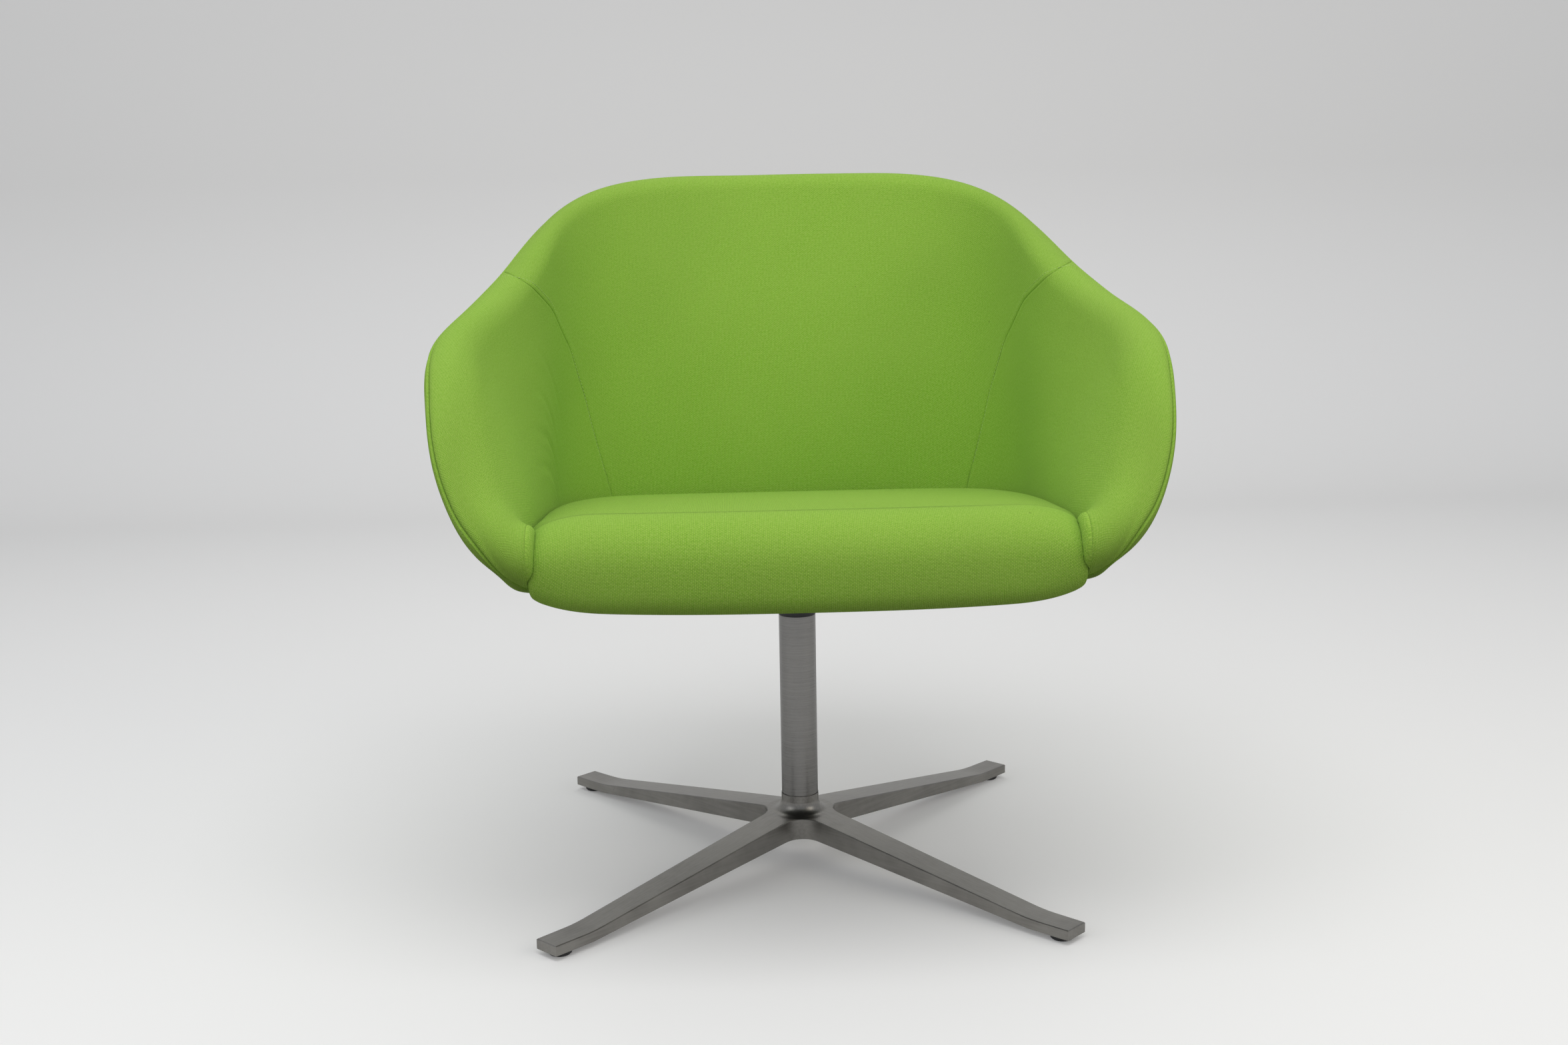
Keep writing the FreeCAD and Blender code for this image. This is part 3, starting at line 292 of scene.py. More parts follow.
CAD_MATERIALS = [
    (CAST, ["base_casting"]), (TUBE, ["column_tube"]), (PLYWOOD, ["seat_board", "shell_core"]),
    (BLACK_PLASTIC, ["glides", "upper_bush", "lower_bush"]),
    (BLACK_METAL, ["swivel_hub", "mounting_plate"]),
    (STEEL, ["glide_studs", "column_plug", "hub_washer", "hub_bolt", "spindle", "retaining_ring",
             "plate_washers", "plate_bolts", "tee_nuts", "board_screws"]),
]
for material, nodes in CAD_MATERIALS:
    for node in nodes:
        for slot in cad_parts[node].material_slots:
            slot.material = material


# The shell's form

SEAT_HALF, SIDE_FRONT, SEAT_REAR, REAR_CORNER = 255.0, 262.0, 177.0, 120.0
RIM_HALF, RIM_REACH, RIM_FRONT, RIM_RISE = 335.0, 309.0, 386.0, 338.0
ROLL, WALL_LIFT, FOOT_LENGTH, FOOT_FLAT = 26.0, 78.0, 62.0, 40.0
PAN_HEIGHT, DEPTH, TILT, LIFT_SHARE = 354.5, 27.2, math.radians(6.0), 0.35
TILT_COS, TILT_SIN, TILT_TAN = math.cos(TILT), math.sin(TILT), math.tan(TILT)
REAR_RUN = SEAT_HALF - REAR_CORNER
CORNER_RUN = REAR_CORNER * math.pi / 2
HALF_PATH = REAR_RUN + CORNER_RUN + SEAT_REAR - REAR_CORNER + SIDE_FRONT

# Right half, front corner to the middle of the back: place along the seat edge, rim centre
# (x, y, z), roll, foot, flat and depth, each as a share of its size above; those left out are 1.
STATION_SHARES = [
    (1.000, 0.761, -0.939, 0.053, 1.08, 0.10, -0.45, 0.54),
    (0.992, 0.806, -0.939, 0.074, 1.12, 0.20, -0.30, 0.62),
    (0.977, 0.857, -0.916, 0.118, 1.15, 0.42, 0.00, 0.76),
    (0.952, 0.904, -0.867, 0.195, 1.19, 0.75, 0.40, 0.92),
    (0.914, 0.946, -0.793, 0.308, 1.19, 1.00, 0.80),
    (0.865, 0.976, -0.667, 0.429, 1.12),
    (0.791, 0.997, -0.472, 0.530, 1.04),
    (0.690, 0.958, -0.194, 0.604),
    (0.574, 0.897, 0.097, 0.684),
    (0.464, 0.842, 0.356, 0.781),
    (0.380, 0.770, 0.615, 0.884),
    (0.295, 0.641, 0.835, 0.959),
    (0.198, 0.432, 0.951, 0.993),
    (0.106, 0.217, 0.990, 0.999),
    (0.000, 0.000, 1.000, 1.000),
]


def unit(p):
    return p / np.linalg.norm(p)


def right_of(t):
    return np.array([t[1], -t[0]])


def arc_points(start, tangent, end, count):
    """Points along the arc that leaves start along tangent and reaches end."""
    chord = end - start
    length = np.linalg.norm(chord)
    along = chord / length
    cross = tangent[0] * along[1] - tangent[1] * along[0]
    lean = float(np.dot(tangent, along))
    half = math.atan2(cross, lean)
    shares = np.linspace(0.0, 1.0, count)
    if abs(half) < 1e-7:
        return start + np.outer(shares, chord), tangent
    radius = length / (2 * math.sin(half))
    centre = start - radius * right_of(tangent)
    spoke = start - centre
    turns = 2 * half * shares
    points = np.stack([centre[0] + spoke[0] * np.cos(turns) - spoke[1] * np.sin(turns),
                       centre[1] + spoke[0] * np.sin(turns) + spoke[1] * np.cos(turns)], axis=1)
    leaving = 2 * lean * along - tangent
    return points, leaving


def biarc_points(start, t_start, end, t_end, count):
    """Points along two arcs that leave start and reach end along the given tangents."""
    gap = end - start
    total = t_start + t_end
    spread = 2 * (1 - np.dot(t_start, t_end))
    across = np.dot(gap, total)
    arm = (-across + math.sqrt(across ** 2 + spread * np.dot(gap, gap))) / spread
    joint = (start + t_start * arm + end - t_end * arm) / 2
    first, leaving = arc_points(start, t_start, joint, count)
    second, _ = arc_points(joint, leaving, end, count)
    return np.vstack([first, second[1:]])


def seat_edge(run):
    """The seat's edge (x, y) at a distance from the middle of the back."""
    if run <= REAR_RUN:
        return run, SEAT_REAR
    if run <= REAR_RUN + CORNER_RUN:
        turn = (run - REAR_RUN) / REAR_CORNER
        return REAR_RUN + REAR_CORNER * math.sin(turn), SEAT_REAR - REAR_CORNER * (1 - math.cos(turn))
    return SEAT_HALF, SEAT_REAR - REAR_CORNER - (run - REAR_RUN - CORNER_RUN)


INNER_COUNT, OUTER_COUNT = 81, 81
WALL_POINTS, RISE_POINTS, TURN_POINTS = 60, 40, 20


def distances(points):
    """Distances along a line of points."""
    return np.concatenate([[0.0], np.cumsum(np.linalg.norm(np.diff(points, axis=0), axis=1))])


def values_at(wanted, steps, values):
    """Rows of values between the steps, at the wanted distances."""
    return np.stack([np.interp(wanted, steps, column) for column in values.T], axis=-1)


def even(points, count):
    """The same line with evenly spaced points."""
    steps = distances(points)
    return values_at(np.linspace(0.0, steps[-1], count), steps, points)


def station(row, mirror):
    """Section lines of one station in space: inside up to the seam, then outside down to the foot."""
    run, sx, sy, sz, roll_share, foot_share, flat_share, depth_share = row + (1.0,) * (8 - len(row))
    edge_x, edge_y = seat_edge(run * HALF_PATH)
    rim_x, rim_y, rim_z = sx * RIM_HALF, sy * RIM_REACH, RIM_FRONT + sz * RIM_RISE
    edge = np.array([edge_x * mirror, edge_y, PAN_HEIGHT - edge_y * TILT_TAN])
    out = np.array([(rim_x - edge_x) * mirror, rim_y - edge_y, 0.0])
    out[2] = -out[1] * TILT_TAN
    out = unit(out)
    plan = unit(np.array([out[0], out[1], 0.0]))
    up = np.array([0.0, 0.0, 1.0]) * np.dot(plan, out) - plan * out[2]
    to_rim = np.array([rim_x * mirror, rim_y, rim_z]) - edge
    rim = np.array([np.dot(to_rim, out), np.dot(to_rim, up)])
    roll = ROLL * roll_share
    lift = LIFT_SHARE * min(WALL_LIFT, rim[1] / 2)
    wall_up = unit(np.array([rim[0], rim[1] - lift]))
    wall_out = right_of(wall_up)
    inner = biarc_points(np.zeros(2), np.array([0.0, 1.0]), rim - wall_out * roll, wall_up, WALL_POINTS)
    rise, _ = arc_points(rim - wall_out * roll, wall_up, rim + wall_up * roll, RISE_POINTS)
    seam_at = rim + unit(wall_up + wall_out) * roll
    over, leaving = arc_points(rim + wall_up * roll, wall_out, seam_at, TURN_POINTS)
    fall, _ = arc_points(seam_at, leaving, rim + wall_out * roll, TURN_POINTS)
    depth = DEPTH * depth_share
    flat_end = np.array([-FOOT_FLAT * flat_share, -depth])
    outer = biarc_points(rim + wall_out * roll, -wall_up, flat_end, np.array([-1.0, 0.0]), WALL_POINTS)
    foot = np.array([[-FOOT_LENGTH * foot_share, -depth]])
    inside = even(np.vstack([inner, rise[1:], over[1:]]), INNER_COUNT)
    outside = even(np.vstack([fall, outer[1:], foot]), OUTER_COUNT)
    section = np.vstack([inside, outside[1:]])
    return edge + np.outer(section[:, 0], out) + np.outer(section[:, 1], up)


SECTIONS = np.array([station(row, 1) for row in STATION_SHARES]
                    + [station(row, -1) for row in reversed(STATION_SHARES[:-1])]) * MM


class Spline:
    """Cubic spline through rows of values at given places, with its end slopes left free."""

    def __init__(self, places, rows):
        n = len(places)
        self.x = np.asarray(places, float)
        self.y = np.asarray(rows, float).reshape(n, -1)
        h = np.diff(self.x)
        a = np.zeros((n, n))
        b = np.zeros((n, self.y.shape[1]))
        slope = np.diff(self.y, axis=0) / h[:, None]
        a[0, 0], a[0, 1], a[0, 2] = h[1], -(h[0] + h[1]), h[0]
        a[-1, -1], a[-1, -2], a[-1, -3] = h[-2], -(h[-1] + h[-2]), h[-1]
        for i in range(1, n - 1):
            a[i, i - 1], a[i, i], a[i, i + 1] = h[i - 1], 2 * (h[i - 1] + h[i]), h[i]
            b[i] = 6 * (slope[i] - slope[i - 1])
        self.m = np.linalg.solve(a, b)
        self.h = h

    def __call__(self, at):
        at = np.atleast_1d(at)
        i = np.clip(np.searchsorted(self.x, at) - 1, 0, len(self.h) - 1)
        h = self.h[i][:, None]
        left = (self.x[i + 1] - at)[:, None]
        right = (at - self.x[i])[:, None]
        m0, m1, y0, y1 = self.m[i], self.m[i + 1], self.y[i], self.y[i + 1]
        return ((m0 * left ** 3 + m1 * right ** 3) / (6 * h)
                + (y0 / h - m0 * h / 6) * left + (y1 / h - m1 * h / 6) * right)


gaps = np.sqrt(np.mean(np.sum(np.diff(SECTIONS, axis=0) ** 2, axis=2), axis=1))
PLACES = np.concatenate([[0.0], np.cumsum(gaps)])
RIM_LENGTH = PLACES[-1]
SHELL = Spline(PLACES, SECTIONS)
SEAM_ROW = INNER_COUNT - 1
ROWS = INNER_COUNT + OUTER_COUNT - 1


def sweep(at):
    """Section points at places along the rim: shape (places, rows, 3)."""
    return SHELL(at).reshape(len(at), ROWS, 3)


DENSE_COUNT = 721
DENSE_AT = np.linspace(0.0, RIM_LENGTH, DENSE_COUNT)
DENSE = sweep(DENSE_AT)


def on_shell(at, row):
    """Points of the shell's surface at places along the rim and fractional section rows."""
    a = np.clip(np.asarray(at) / RIM_LENGTH * (DENSE_COUNT - 1), 0, DENSE_COUNT - 1 - 1e-6)
    r = np.clip(np.asarray(row, float), 0, ROWS - 1 - 1e-6)
    i, j = a.astype(int), r.astype(int)
    fa, fr = (a - i)[..., None], (r - j)[..., None]
    return (DENSE[i, j] * (1 - fa) * (1 - fr) + DENSE[i + 1, j] * fa * (1 - fr)
            + DENSE[i, j + 1] * (1 - fa) * fr + DENSE[i + 1, j + 1] * fa * fr)


def shell_normal(at, row):
    """Outward unit normals of the shell at the same places."""
    da, dr = RIM_LENGTH / (DENSE_COUNT - 1), 0.5
    at, row = np.asarray(at, float), np.asarray(row, float)
    along = on_shell(at + da, row) - on_shell(at - da, row)
    across = on_shell(at, row + dr) - on_shell(at, row - dr)
    n = np.cross(across, along)
    return n / np.maximum(np.linalg.norm(n, axis=-1, keepdims=True), 1e-12)


# Inner seams: each is drawn as seen along a level direction, as sideways and upward shares
SEAM_TURN = math.radians(143.0)
SEAM_PATH = [(0.030, -0.250), (0.006, 0.031), (-0.067, 0.358), (-0.141, 0.530),
             (-0.275, 0.669), (-0.427, 0.740), (-0.502, 0.766), (-0.518, 1.100)]


def seam_places():
    """Where the left inner seam crosses each inner row, as places along the rim."""
    outward = np.array([math.cos(SEAM_TURN), math.sin(SEAM_TURN), 0.0])
    sideways = np.array([outward[1], -outward[0], 0.0])
    path_z = np.array([RIM_FRONT + rise * RIM_RISE for _, rise in SEAM_PATH]) * MM
    path_x = np.array([across * RIM_REACH for across, _ in SEAM_PATH]) * MM
    found = []
    half = DENSE_COUNT // 2
    for j in range(INNER_COUNT):
        line = DENSE[half:, j]
        off = line @ sideways - np.interp(line[:, 2], path_z, path_x)
        cross = np.nonzero(np.diff(np.sign(off)))[0]
        k = cross[0] if len(cross) else len(line) // 2
        share = off[k] / (off[k] - off[k + 1]) if off[k] != off[k + 1] else 0.0
        found.append(DENSE_AT[half + k] + share * (DENSE_AT[1] - DENSE_AT[0]))
    return np.array(found)


# The rim seam keeps to one row but for the front ends, where it runs down to the arm's foot
RIM_SEAM_ROW, SEAM_FALL, SEAM_FALL_REACH = 77.5, 41.6, 17.6 * MM


def rim_seam_row(at):
    """The section row of the rim seam at places along the rim."""
    from_end = np.minimum(at, RIM_LENGTH - at)
    return RIM_SEAM_ROW + SEAM_FALL * np.exp(-(from_end / SEAM_FALL_REACH) ** 2)


def sewn_rows(at, rows):
    """Section rows moved so that the rows' middle lies on the rim seam."""
    seam = rim_seam_row(at)
    inside = rows / SEAM_ROW * seam
    outside = seam + (rows - SEAM_ROW) / (ROWS - 1 - SEAM_ROW) * (ROWS - 1 - seam)
    return np.where(rows <= SEAM_ROW, inside, outside)


SMOOTHING = np.hanning(9)
LEFT_SEAM = np.convolve(np.pad(seam_places(), len(SMOOTHING) // 2, mode="reflect", reflect_type="odd"),
                        SMOOTHING / SMOOTHING.sum(), mode="valid")
RIGHT_SEAM = RIM_LENGTH - LEFT_SEAM


# Meshes

def new_object(name, verts, faces, materials, uvs=None):
    mesh = bpy.data.meshes.new(name)
    mesh.from_pydata([tuple(v) for v in verts], [], faces)
    if uvs is not None:
        layer = mesh.uv_layers.new(name="weave")
        loops = np.empty(len(mesh.loops), dtype=np.int32)
        mesh.loops.foreach_get("vertex_index", loops)
        layer.data.foreach_set("uv", np.asarray(uvs)[loops].astype(np.float32).ravel())
    for material in materials:
        mesh.materials.append(material)
    mesh.validate()
    obj = bpy.data.objects.new(name, mesh)
    bpy.context.collection.objects.link(obj)
    mesh.polygons.foreach_set("use_smooth", [True] * len(mesh.polygons))
    return obj


def grid_faces(rows, columns, closed=False):
    """Quads over a grid of points; closed joins each row's last point to its first."""
    return [(i * columns + j, i * columns + (j + 1) % columns,
             (i + 1) * columns + (j + 1) % columns, (i + 1) * columns + j)
            for i in range(rows - 1) for j in range(columns if closed else columns - 1)]


def thicken(obj, name, thickness, offset):
    """Give a sheet its thickness, to one side (-1) or to both (0)."""
    solid = obj.modifiers.new(name, "SOLIDIFY")
    solid.thickness = thickness
    solid.offset = offset


def length_along(points, axis):
    """Distances along a grid from its middle line, in metres."""
    steps = np.linalg.norm(np.diff(points, axis=axis), axis=2)
    start = np.zeros_like(np.take(steps, [0], axis=axis))
    total = np.concatenate([start, np.cumsum(steps, axis=axis)], axis=axis)
    middle = total.shape[axis] // 2
    return total - np.take(total, [middle], axis=axis)


TOPSTITCH = 5.6

# Grooves and ridges beside a panel's edge in mm: height, distance from the edge and width
SEAM_FOLDS = {
    "fine": [(-0.7, 0.0, 1.2), (0.3, 5.0, 3.0)],
    "joint": [(-1.5, 0.0, 1.6), (0.5, 6.0, 4.0)],
    "topstitched": [(-1.5, 0.0, 1.3), (0.9, TOPSTITCH / 2, 1.9), (-1.0, TOPSTITCH, 1.0)],
}


def seam_fold(distance, kind):
    """How far the cloth lies off the plain form at a distance from one edge of a panel."""
    d = np.maximum(distance, 0.0)
    return sum(height * MM * np.exp(-((d - place * MM) / (width * MM)) ** 2)
               for height, place, width in SEAM_FOLDS[kind])


# Soft creases in the left arm's inside: middle as a share of the rim and a section row, direction,
# length in metres and depth in mm. Each crease is a bent groove with a low ridge on both sides.
ARM_CREASES = [(0.775, 27.0, 0.55, 0.055, 1.0), (0.762, 34.0, 0.75, 0.045, 0.7),
               (0.80, 22.0, 0.35, 0.05, 0.6), (0.742, 41.0, 0.9, 0.05, 0.45)]
CREASE_BEND, GROOVE_WIDTH, RIDGE_SHARE, RIDGE_OFF, RIDGE_WIDTH = 3.0, 4.5 * MM, 0.7, 10.0 * MM, 6.0 * MM


def crease_depth(points):
    """Shallow creases where the cloth of one arm has slackened."""
    depth = np.zeros(points.shape[:-1])
    for rim_share, row, turn, length, strength in ARM_CREASES:
        at = np.array(rim_share * RIM_LENGTH)
        middle = on_shell(at, np.array(row))
        along = unit(on_shell(at + 10 * MM, np.array(row)) - middle)
        up = unit(on_shell(at, np.array(row + 3.0)) - middle)
        line = along * math.cos(turn) + up * math.sin(turn)
        side = up * math.cos(turn) - along * math.sin(turn)
        off = points - middle
        far = off @ line
        wide = off @ side + CREASE_BEND * far ** 2
        groove = -np.exp(-(wide / GROOVE_WIDTH) ** 2)
        ridges = RIDGE_SHARE * np.exp(-((np.abs(wide) - RIDGE_OFF) / RIDGE_WIDTH) ** 2)
        depth += strength * MM * np.exp(-(far / length) ** 2) * (groove + ridges)
    return depth


WAVE_SCALE, WAVE_HEIGHT, CLOTH_THICKNESS = 11.0, 0.9 * MM, 1.4 * MM


def panel(name, at, rows, seams):
    """A sewn panel over a grid of shell places; seams says how each grid edge turns in."""
    points = on_shell(at, rows)
    normals = shell_normal(at, rows)
    u = length_along(points, 0)
    v = length_along(points, 1)
    lift = np.zeros(at.shape)
    edges = {"first": u - u[:1], "last": u[-1:] - u, "low": v - v[:, :1], "high": v[:, -1:] - v}
    for edge, kind in seams.items():
        lift += seam_fold(edges[edge], kind)
    wave = np.array([[noise.noise(Vector(p) * WAVE_SCALE) for p in line] for line in points])
    lift += wave * WAVE_HEIGHT
    if name == "arm_left_cloth":
        lift += crease_depth(points)
    points = points + normals * lift[..., None]
    uvs = np.stack([u.ravel(), v.ravel()], axis=1)
    obj = new_object(name, points.reshape(-1, 3), grid_faces(*at.shape), [CLOTH], uvs)
    thicken(obj, "cloth", CLOTH_THICKNESS, -1.0)
    return obj


def spread(low, high, count, ends):
    """Numbers from low to high, closer together at both ends."""
    s = np.linspace(0.0, 1.0, count)
    s = s - ends * np.sin(2 * math.pi * s) / (2 * math.pi)
    return low + (high - low) * s


PANEL_ROWS, ROW_SPREAD, COLUMN_SPREAD = 121, 0.6, 0.5
ARM_COLUMNS, BACK_COLUMNS, OUTER_COLUMNS = 190, 300, 560
inner_rows = spread(0.0, SEAM_ROW, PANEL_ROWS, ROW_SPREAD)
outer_rows = spread(SEAM_ROW, ROWS - 1, PANEL_ROWS, ROW_SPREAD)
ROW_INDEX = np.arange(INNER_COUNT)
left_seam_at = np.interp(inner_rows, ROW_INDEX, LEFT_SEAM)
right_seam_at = np.interp(inner_rows, ROW_INDEX, RIGHT_SEAM)


def make_panel(name, start, end, rows, columns, seams):
    """A panel from start to end along the rim, which are one place or a place for every row."""
    start, end = np.broadcast_to(start, rows.shape), np.broadcast_to(end, rows.shape)
    at = np.stack([spread(a, b, columns, COLUMN_SPREAD) for a, b in zip(start, end)], axis=1)
    return panel(name, at, sewn_rows(at, np.broadcast_to(rows, at.shape)), seams)


arm_right = make_panel("arm_right_cloth", 0.0, right_seam_at, inner_rows, ARM_COLUMNS,
                       {"last": "fine", "high": "joint"})
back = make_panel("back_cloth", right_seam_at, left_seam_at, inner_rows, BACK_COLUMNS,
                  {"first": "fine", "last": "fine", "high": "joint"})
arm_left = make_panel("arm_left_cloth", left_seam_at, RIM_LENGTH, inner_rows, ARM_COLUMNS,
                      {"first": "fine", "high": "joint"})
outer = make_panel("outer_cloth", 0.0, RIM_LENGTH, outer_rows, OUTER_COLUMNS, {"low": "topstitched"})
for piece, node in ((arm_right, "cover_arm_right"), (back, "cover_back"), (arm_left, "cover_arm_left")):
    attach(piece, "seat")
    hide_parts(node)
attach(outer, "seat")
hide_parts("cover_outer", "shell_foam")


# Stitches

STITCH_PITCH, STITCH_LENGTH, STITCH_RADIUS, STITCH_SIDES = 4.3 * MM, 2.9 * MM, 0.3 * MM, 6

# Rings of one stitch: place along it as a share of its length, width and lift as shares of its radius
STITCH_RING_SHARES = [(-0.5, 0.25, -0.9), (-0.36, 0.85, -0.1), (0.0, 1.0, 0.35),
                      (0.36, 0.85, -0.1), (0.5, 0.25, -0.9)]


def stitched(name, lines):
    """One piece of thread: small round stitches laid along the lines of several seams."""
    sides, rings = STITCH_SIDES, STITCH_RING_SHARES
    last = (len(rings) - 1) * sides
    stitch = grid_faces(len(rings), sides, closed=True)
    stitch += [tuple(range(sides - 1, -1, -1)), tuple(range(last, last + sides))]
    verts, faces = [], []
    for path, normals in lines:
        steps = distances(path)
        for at in np.arange(STITCH_PITCH / 2, steps[-1] - STITCH_PITCH / 2, STITCH_PITCH):
            place = values_at(at, steps, path)
            ahead = unit(values_at(at + 1 * MM, steps, path) - place)
            up = values_at(at, steps, normals)
            up = unit(up - ahead * np.dot(up, ahead))
            side = np.cross(ahead, up)
            faces += [tuple(len(verts) + k for k in face) for face in stitch]
            for along, wide, lift in rings:
                for turn in np.linspace(0, 2 * math.pi, sides, endpoint=False):
                    out = up * (lift + wide * math.sin(turn)) + side * wide * math.cos(turn)
                    verts.append(place + ahead * along * STITCH_LENGTH + out * STITCH_RADIUS)
    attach(new_object(name, verts, faces, [THREAD]), "seat")


SEAM_SIDE, RIM_STITCH_ENDS, STITCH_SINK = 2.1 * MM, 6.0 * MM, 0.75 * MM
SEAM_STITCH_ROWS = np.linspace(14.0, SEAM_ROW - 2.0, 400)
RIM_STITCH_AT = np.linspace(RIM_STITCH_ENDS, RIM_LENGTH - RIM_STITCH_ENDS, 1200)


def beside_seam(seam_at, offset):
    """A line on the shell's inside, a little to one side of an inner seam."""
    rows = SEAM_STITCH_ROWS
    at = np.interp(rows, ROW_INDEX, seam_at) + offset
    return on_shell(at, rows), shell_normal(at, rows)


def below_rim_seam(distance):
    """A line on the shell's outside, a little below the rim seam."""
    at = RIM_STITCH_AT
    seam = rim_seam_row(at)
    rows = seam + distance / np.linalg.norm(on_shell(at, seam + 1.0) - on_shell(at, seam), axis=1)
    normals = shell_normal(at, rows)
    return on_shell(at, rows) - normals * STITCH_SINK, normals


stitched("inner_seam_stitches", [beside_seam(LEFT_SEAM, SEAM_SIDE), beside_seam(RIGHT_SEAM, -SEAM_SIDE)])
stitched("rim_seam_stitches", [below_rim_seam(TOPSTITCH * MM)])


# The seat cushion

CUSHION_HALF, CUSHION_NOSE, NOSE_BOW, NOSE_ROUND = 254.4, 337.0, 22.0, 44.0
FRONT_HEIGHT, REAR_HEIGHT, CROWN = 54.0, 46.0, 5.0
NOSE_DROP, NOSE_LIFT, UNDER_ROUND, HEM_ROUND, REAR_ROUND = 38.0, 6.0, 22.0, 14.0, 14.0
SIDE_ROUND, FRONT_DROP, REAR_DROP, UNDER_LIFT, SIDE_TUCK = 64.0, 22.0, 6.0, 15.0, 5.0
HEM_Y, HEM_SET_BACK, UNDERSIDE = -290.6, 4.0, 0.3
REAR_GAP, BOW_POWER, LIFT_POWER = 2.0, 2.5, 3
CUSHION_ROWS, CUSHION_COLUMNS, CAP_RINGS = 150, 91, 5
SPINE_FRONT, SPINE_REAR, SPINE_BAND, ACROSS_SPREAD = 22.0, 16.0, 6.0, 0.75
TOP_POINTS, BROW_POINTS, CHIN_POINTS, TUCK_POINTS, BOARD_POINTS, NAPE_POINTS = 90, 24, 18, 16, 60, 14


def cushion_section(across):
    """One closed section of the cushion (y, z in the tilted pan frame, mm) at a place across it."""
    share = abs(across) / CUSHION_HALF
    past = max(0.0, (abs(across) - CUSHION_HALF + SIDE_ROUND) / SIDE_ROUND)
    turn = 1 - math.sqrt(max(0.0, 1 - min(1.0, past) ** 2))
    corner_x = max(0.0, abs(across) - REAR_RUN)
    rear_y = SEAT_REAR - REAR_CORNER + math.sqrt(REAR_CORNER ** 2 - corner_x ** 2)
    rear = rear_y / TILT_COS - REAR_GAP
    nose = -(CUSHION_NOSE - NOSE_BOW * share ** BOW_POWER) + SIDE_TUCK * turn
    nose_low = -NOSE_DROP + NOSE_LIFT * share ** LIFT_POWER + UNDER_LIFT * turn
    rear_top, front_top = REAR_HEIGHT - REAR_DROP * turn, FRONT_HEIGHT - FRONT_DROP * turn
    tip = np.array([nose, (nose_low + front_top) / 2])
    brow = np.array([nose + NOSE_ROUND, front_top])
    chin = np.array([min(nose + UNDER_ROUND, HEM_Y - HEM_SET_BACK), nose_low])
    hem = np.array([HEM_Y, min(nose_low + HEM_ROUND, 0.0)])
    behind = np.array([HEM_Y, UNDERSIDE])
    nape = np.array([rear - REAR_ROUND, rear_top])
    rear_edge = np.array([rear, rear_top - REAR_ROUND])
    crown = np.array([(brow[0] + nape[0]) / 2, (rear_top + front_top) / 2 + CROWN])
    centre = circle_centre(nape, crown, brow)
    crown_in = unit(right_of(brow - centre))
    low_rear = np.array([rear, UNDERSIDE])
    down, back, rise = np.array([0.0, -1.0]), np.array([1.0, 0.0]), np.array([0.0, 1.0])
    top_tangent = -crown_in if crown_in[0] > 0 else crown_in
    top, _ = arc_points(nape, unit(-right_of(nape - centre)), brow, TOP_POINTS)
    over = biarc_points(brow, top_tangent, tip, down, BROW_POINTS)
    under = biarc_points(tip, down, chin, back, CHIN_POINTS)
    tuck_in = biarc_points(chin, back, hem, rise, TUCK_POINTS)
    corner, _ = arc_points(rear_edge, rise, nape, NAPE_POINTS)
    on_board = np.linspace(behind, low_rear, BOARD_POINTS)
    loop = np.vstack([over, under[1:], tuck_in[1:], on_board, [rear_edge], corner[1:], top[1:]])
    return even(loop, CUSHION_ROWS + 1)[:-1]


def circle_centre(a, b, c):
    """Centre of the circle through three points."""
    m = 2 * np.array([b - a, c - b])
    return np.linalg.solve(m, np.array([b @ b - a @ a, c @ c - b @ b]))


def from_pan(points):
    """Points of the tilted pan frame, in mm, as points in space."""
    x, y, z = np.moveaxis(points, -1, 0)
    up = PAN_HEIGHT - y * TILT_SIN + z * TILT_COS
    return np.stack([x, y * TILT_COS + z * TILT_SIN, up], axis=-1) * MM


def cushion_grid():
    """The cushion as one closed grid: columns across, rows round the section, rings over both sides."""
    across = spread(-CUSHION_HALF, CUSHION_HALF, CUSHION_COLUMNS, ACROSS_SPREAD)
    loops = [np.column_stack([np.full(CUSHION_ROWS, x), cushion_section(x)]) for x in across]
    side = loops[-1]
    spine_y = np.clip(side[:, 1], side[:, 1].min() + SPINE_FRONT, side[:, 1].max() - SPINE_REAR)
    columns = [np.abs(side[:, 1] - y) < SPINE_BAND for y in spine_y]
    spine_z = np.array([(side[c, 2].max() + side[c, 2].min()) / 2 if c.any() else 0.0 for c in columns])
    keeps = [math.cos(ring / CAP_RINGS * math.pi / 2) for ring in range(1, CAP_RINGS + 1)]
    caps = [(spine_y + (side[:, 1] - spine_y) * keep, spine_z + (side[:, 2] - spine_z) * keep)
            for keep in keeps]
    left = [np.column_stack([np.full(CUSHION_ROWS, -CUSHION_HALF), y, z]) for y, z in reversed(caps)]
    right = [np.column_stack([np.full(CUSHION_ROWS, CUSHION_HALF), y, z]) for y, z in caps]
    return np.array(left + loops + right)


# The inside of the shell, for keeping the cushion clear of it
WALL_STEP, WALL_ROWS = 4, SEAM_ROW + 20
wall_grid = DENSE[::WALL_STEP, :WALL_ROWS]
WALL = BVHTree.FromPolygons([Vector(p) for p in wall_grid.reshape(-1, 3)], grid_faces(*wall_grid.shape[:2]))
WALL_GAP, WALL_NEAR, INSIDE_Y = 0.5 * MM, 30 * MM, -50 * MM
MOST_ROOM, RAY_START, RAY_LENGTH = 20.0 * MM, 0.2, 0.12
ARM_END, ARM_END_FADE = -262.0 * MM, 34.0 * MM


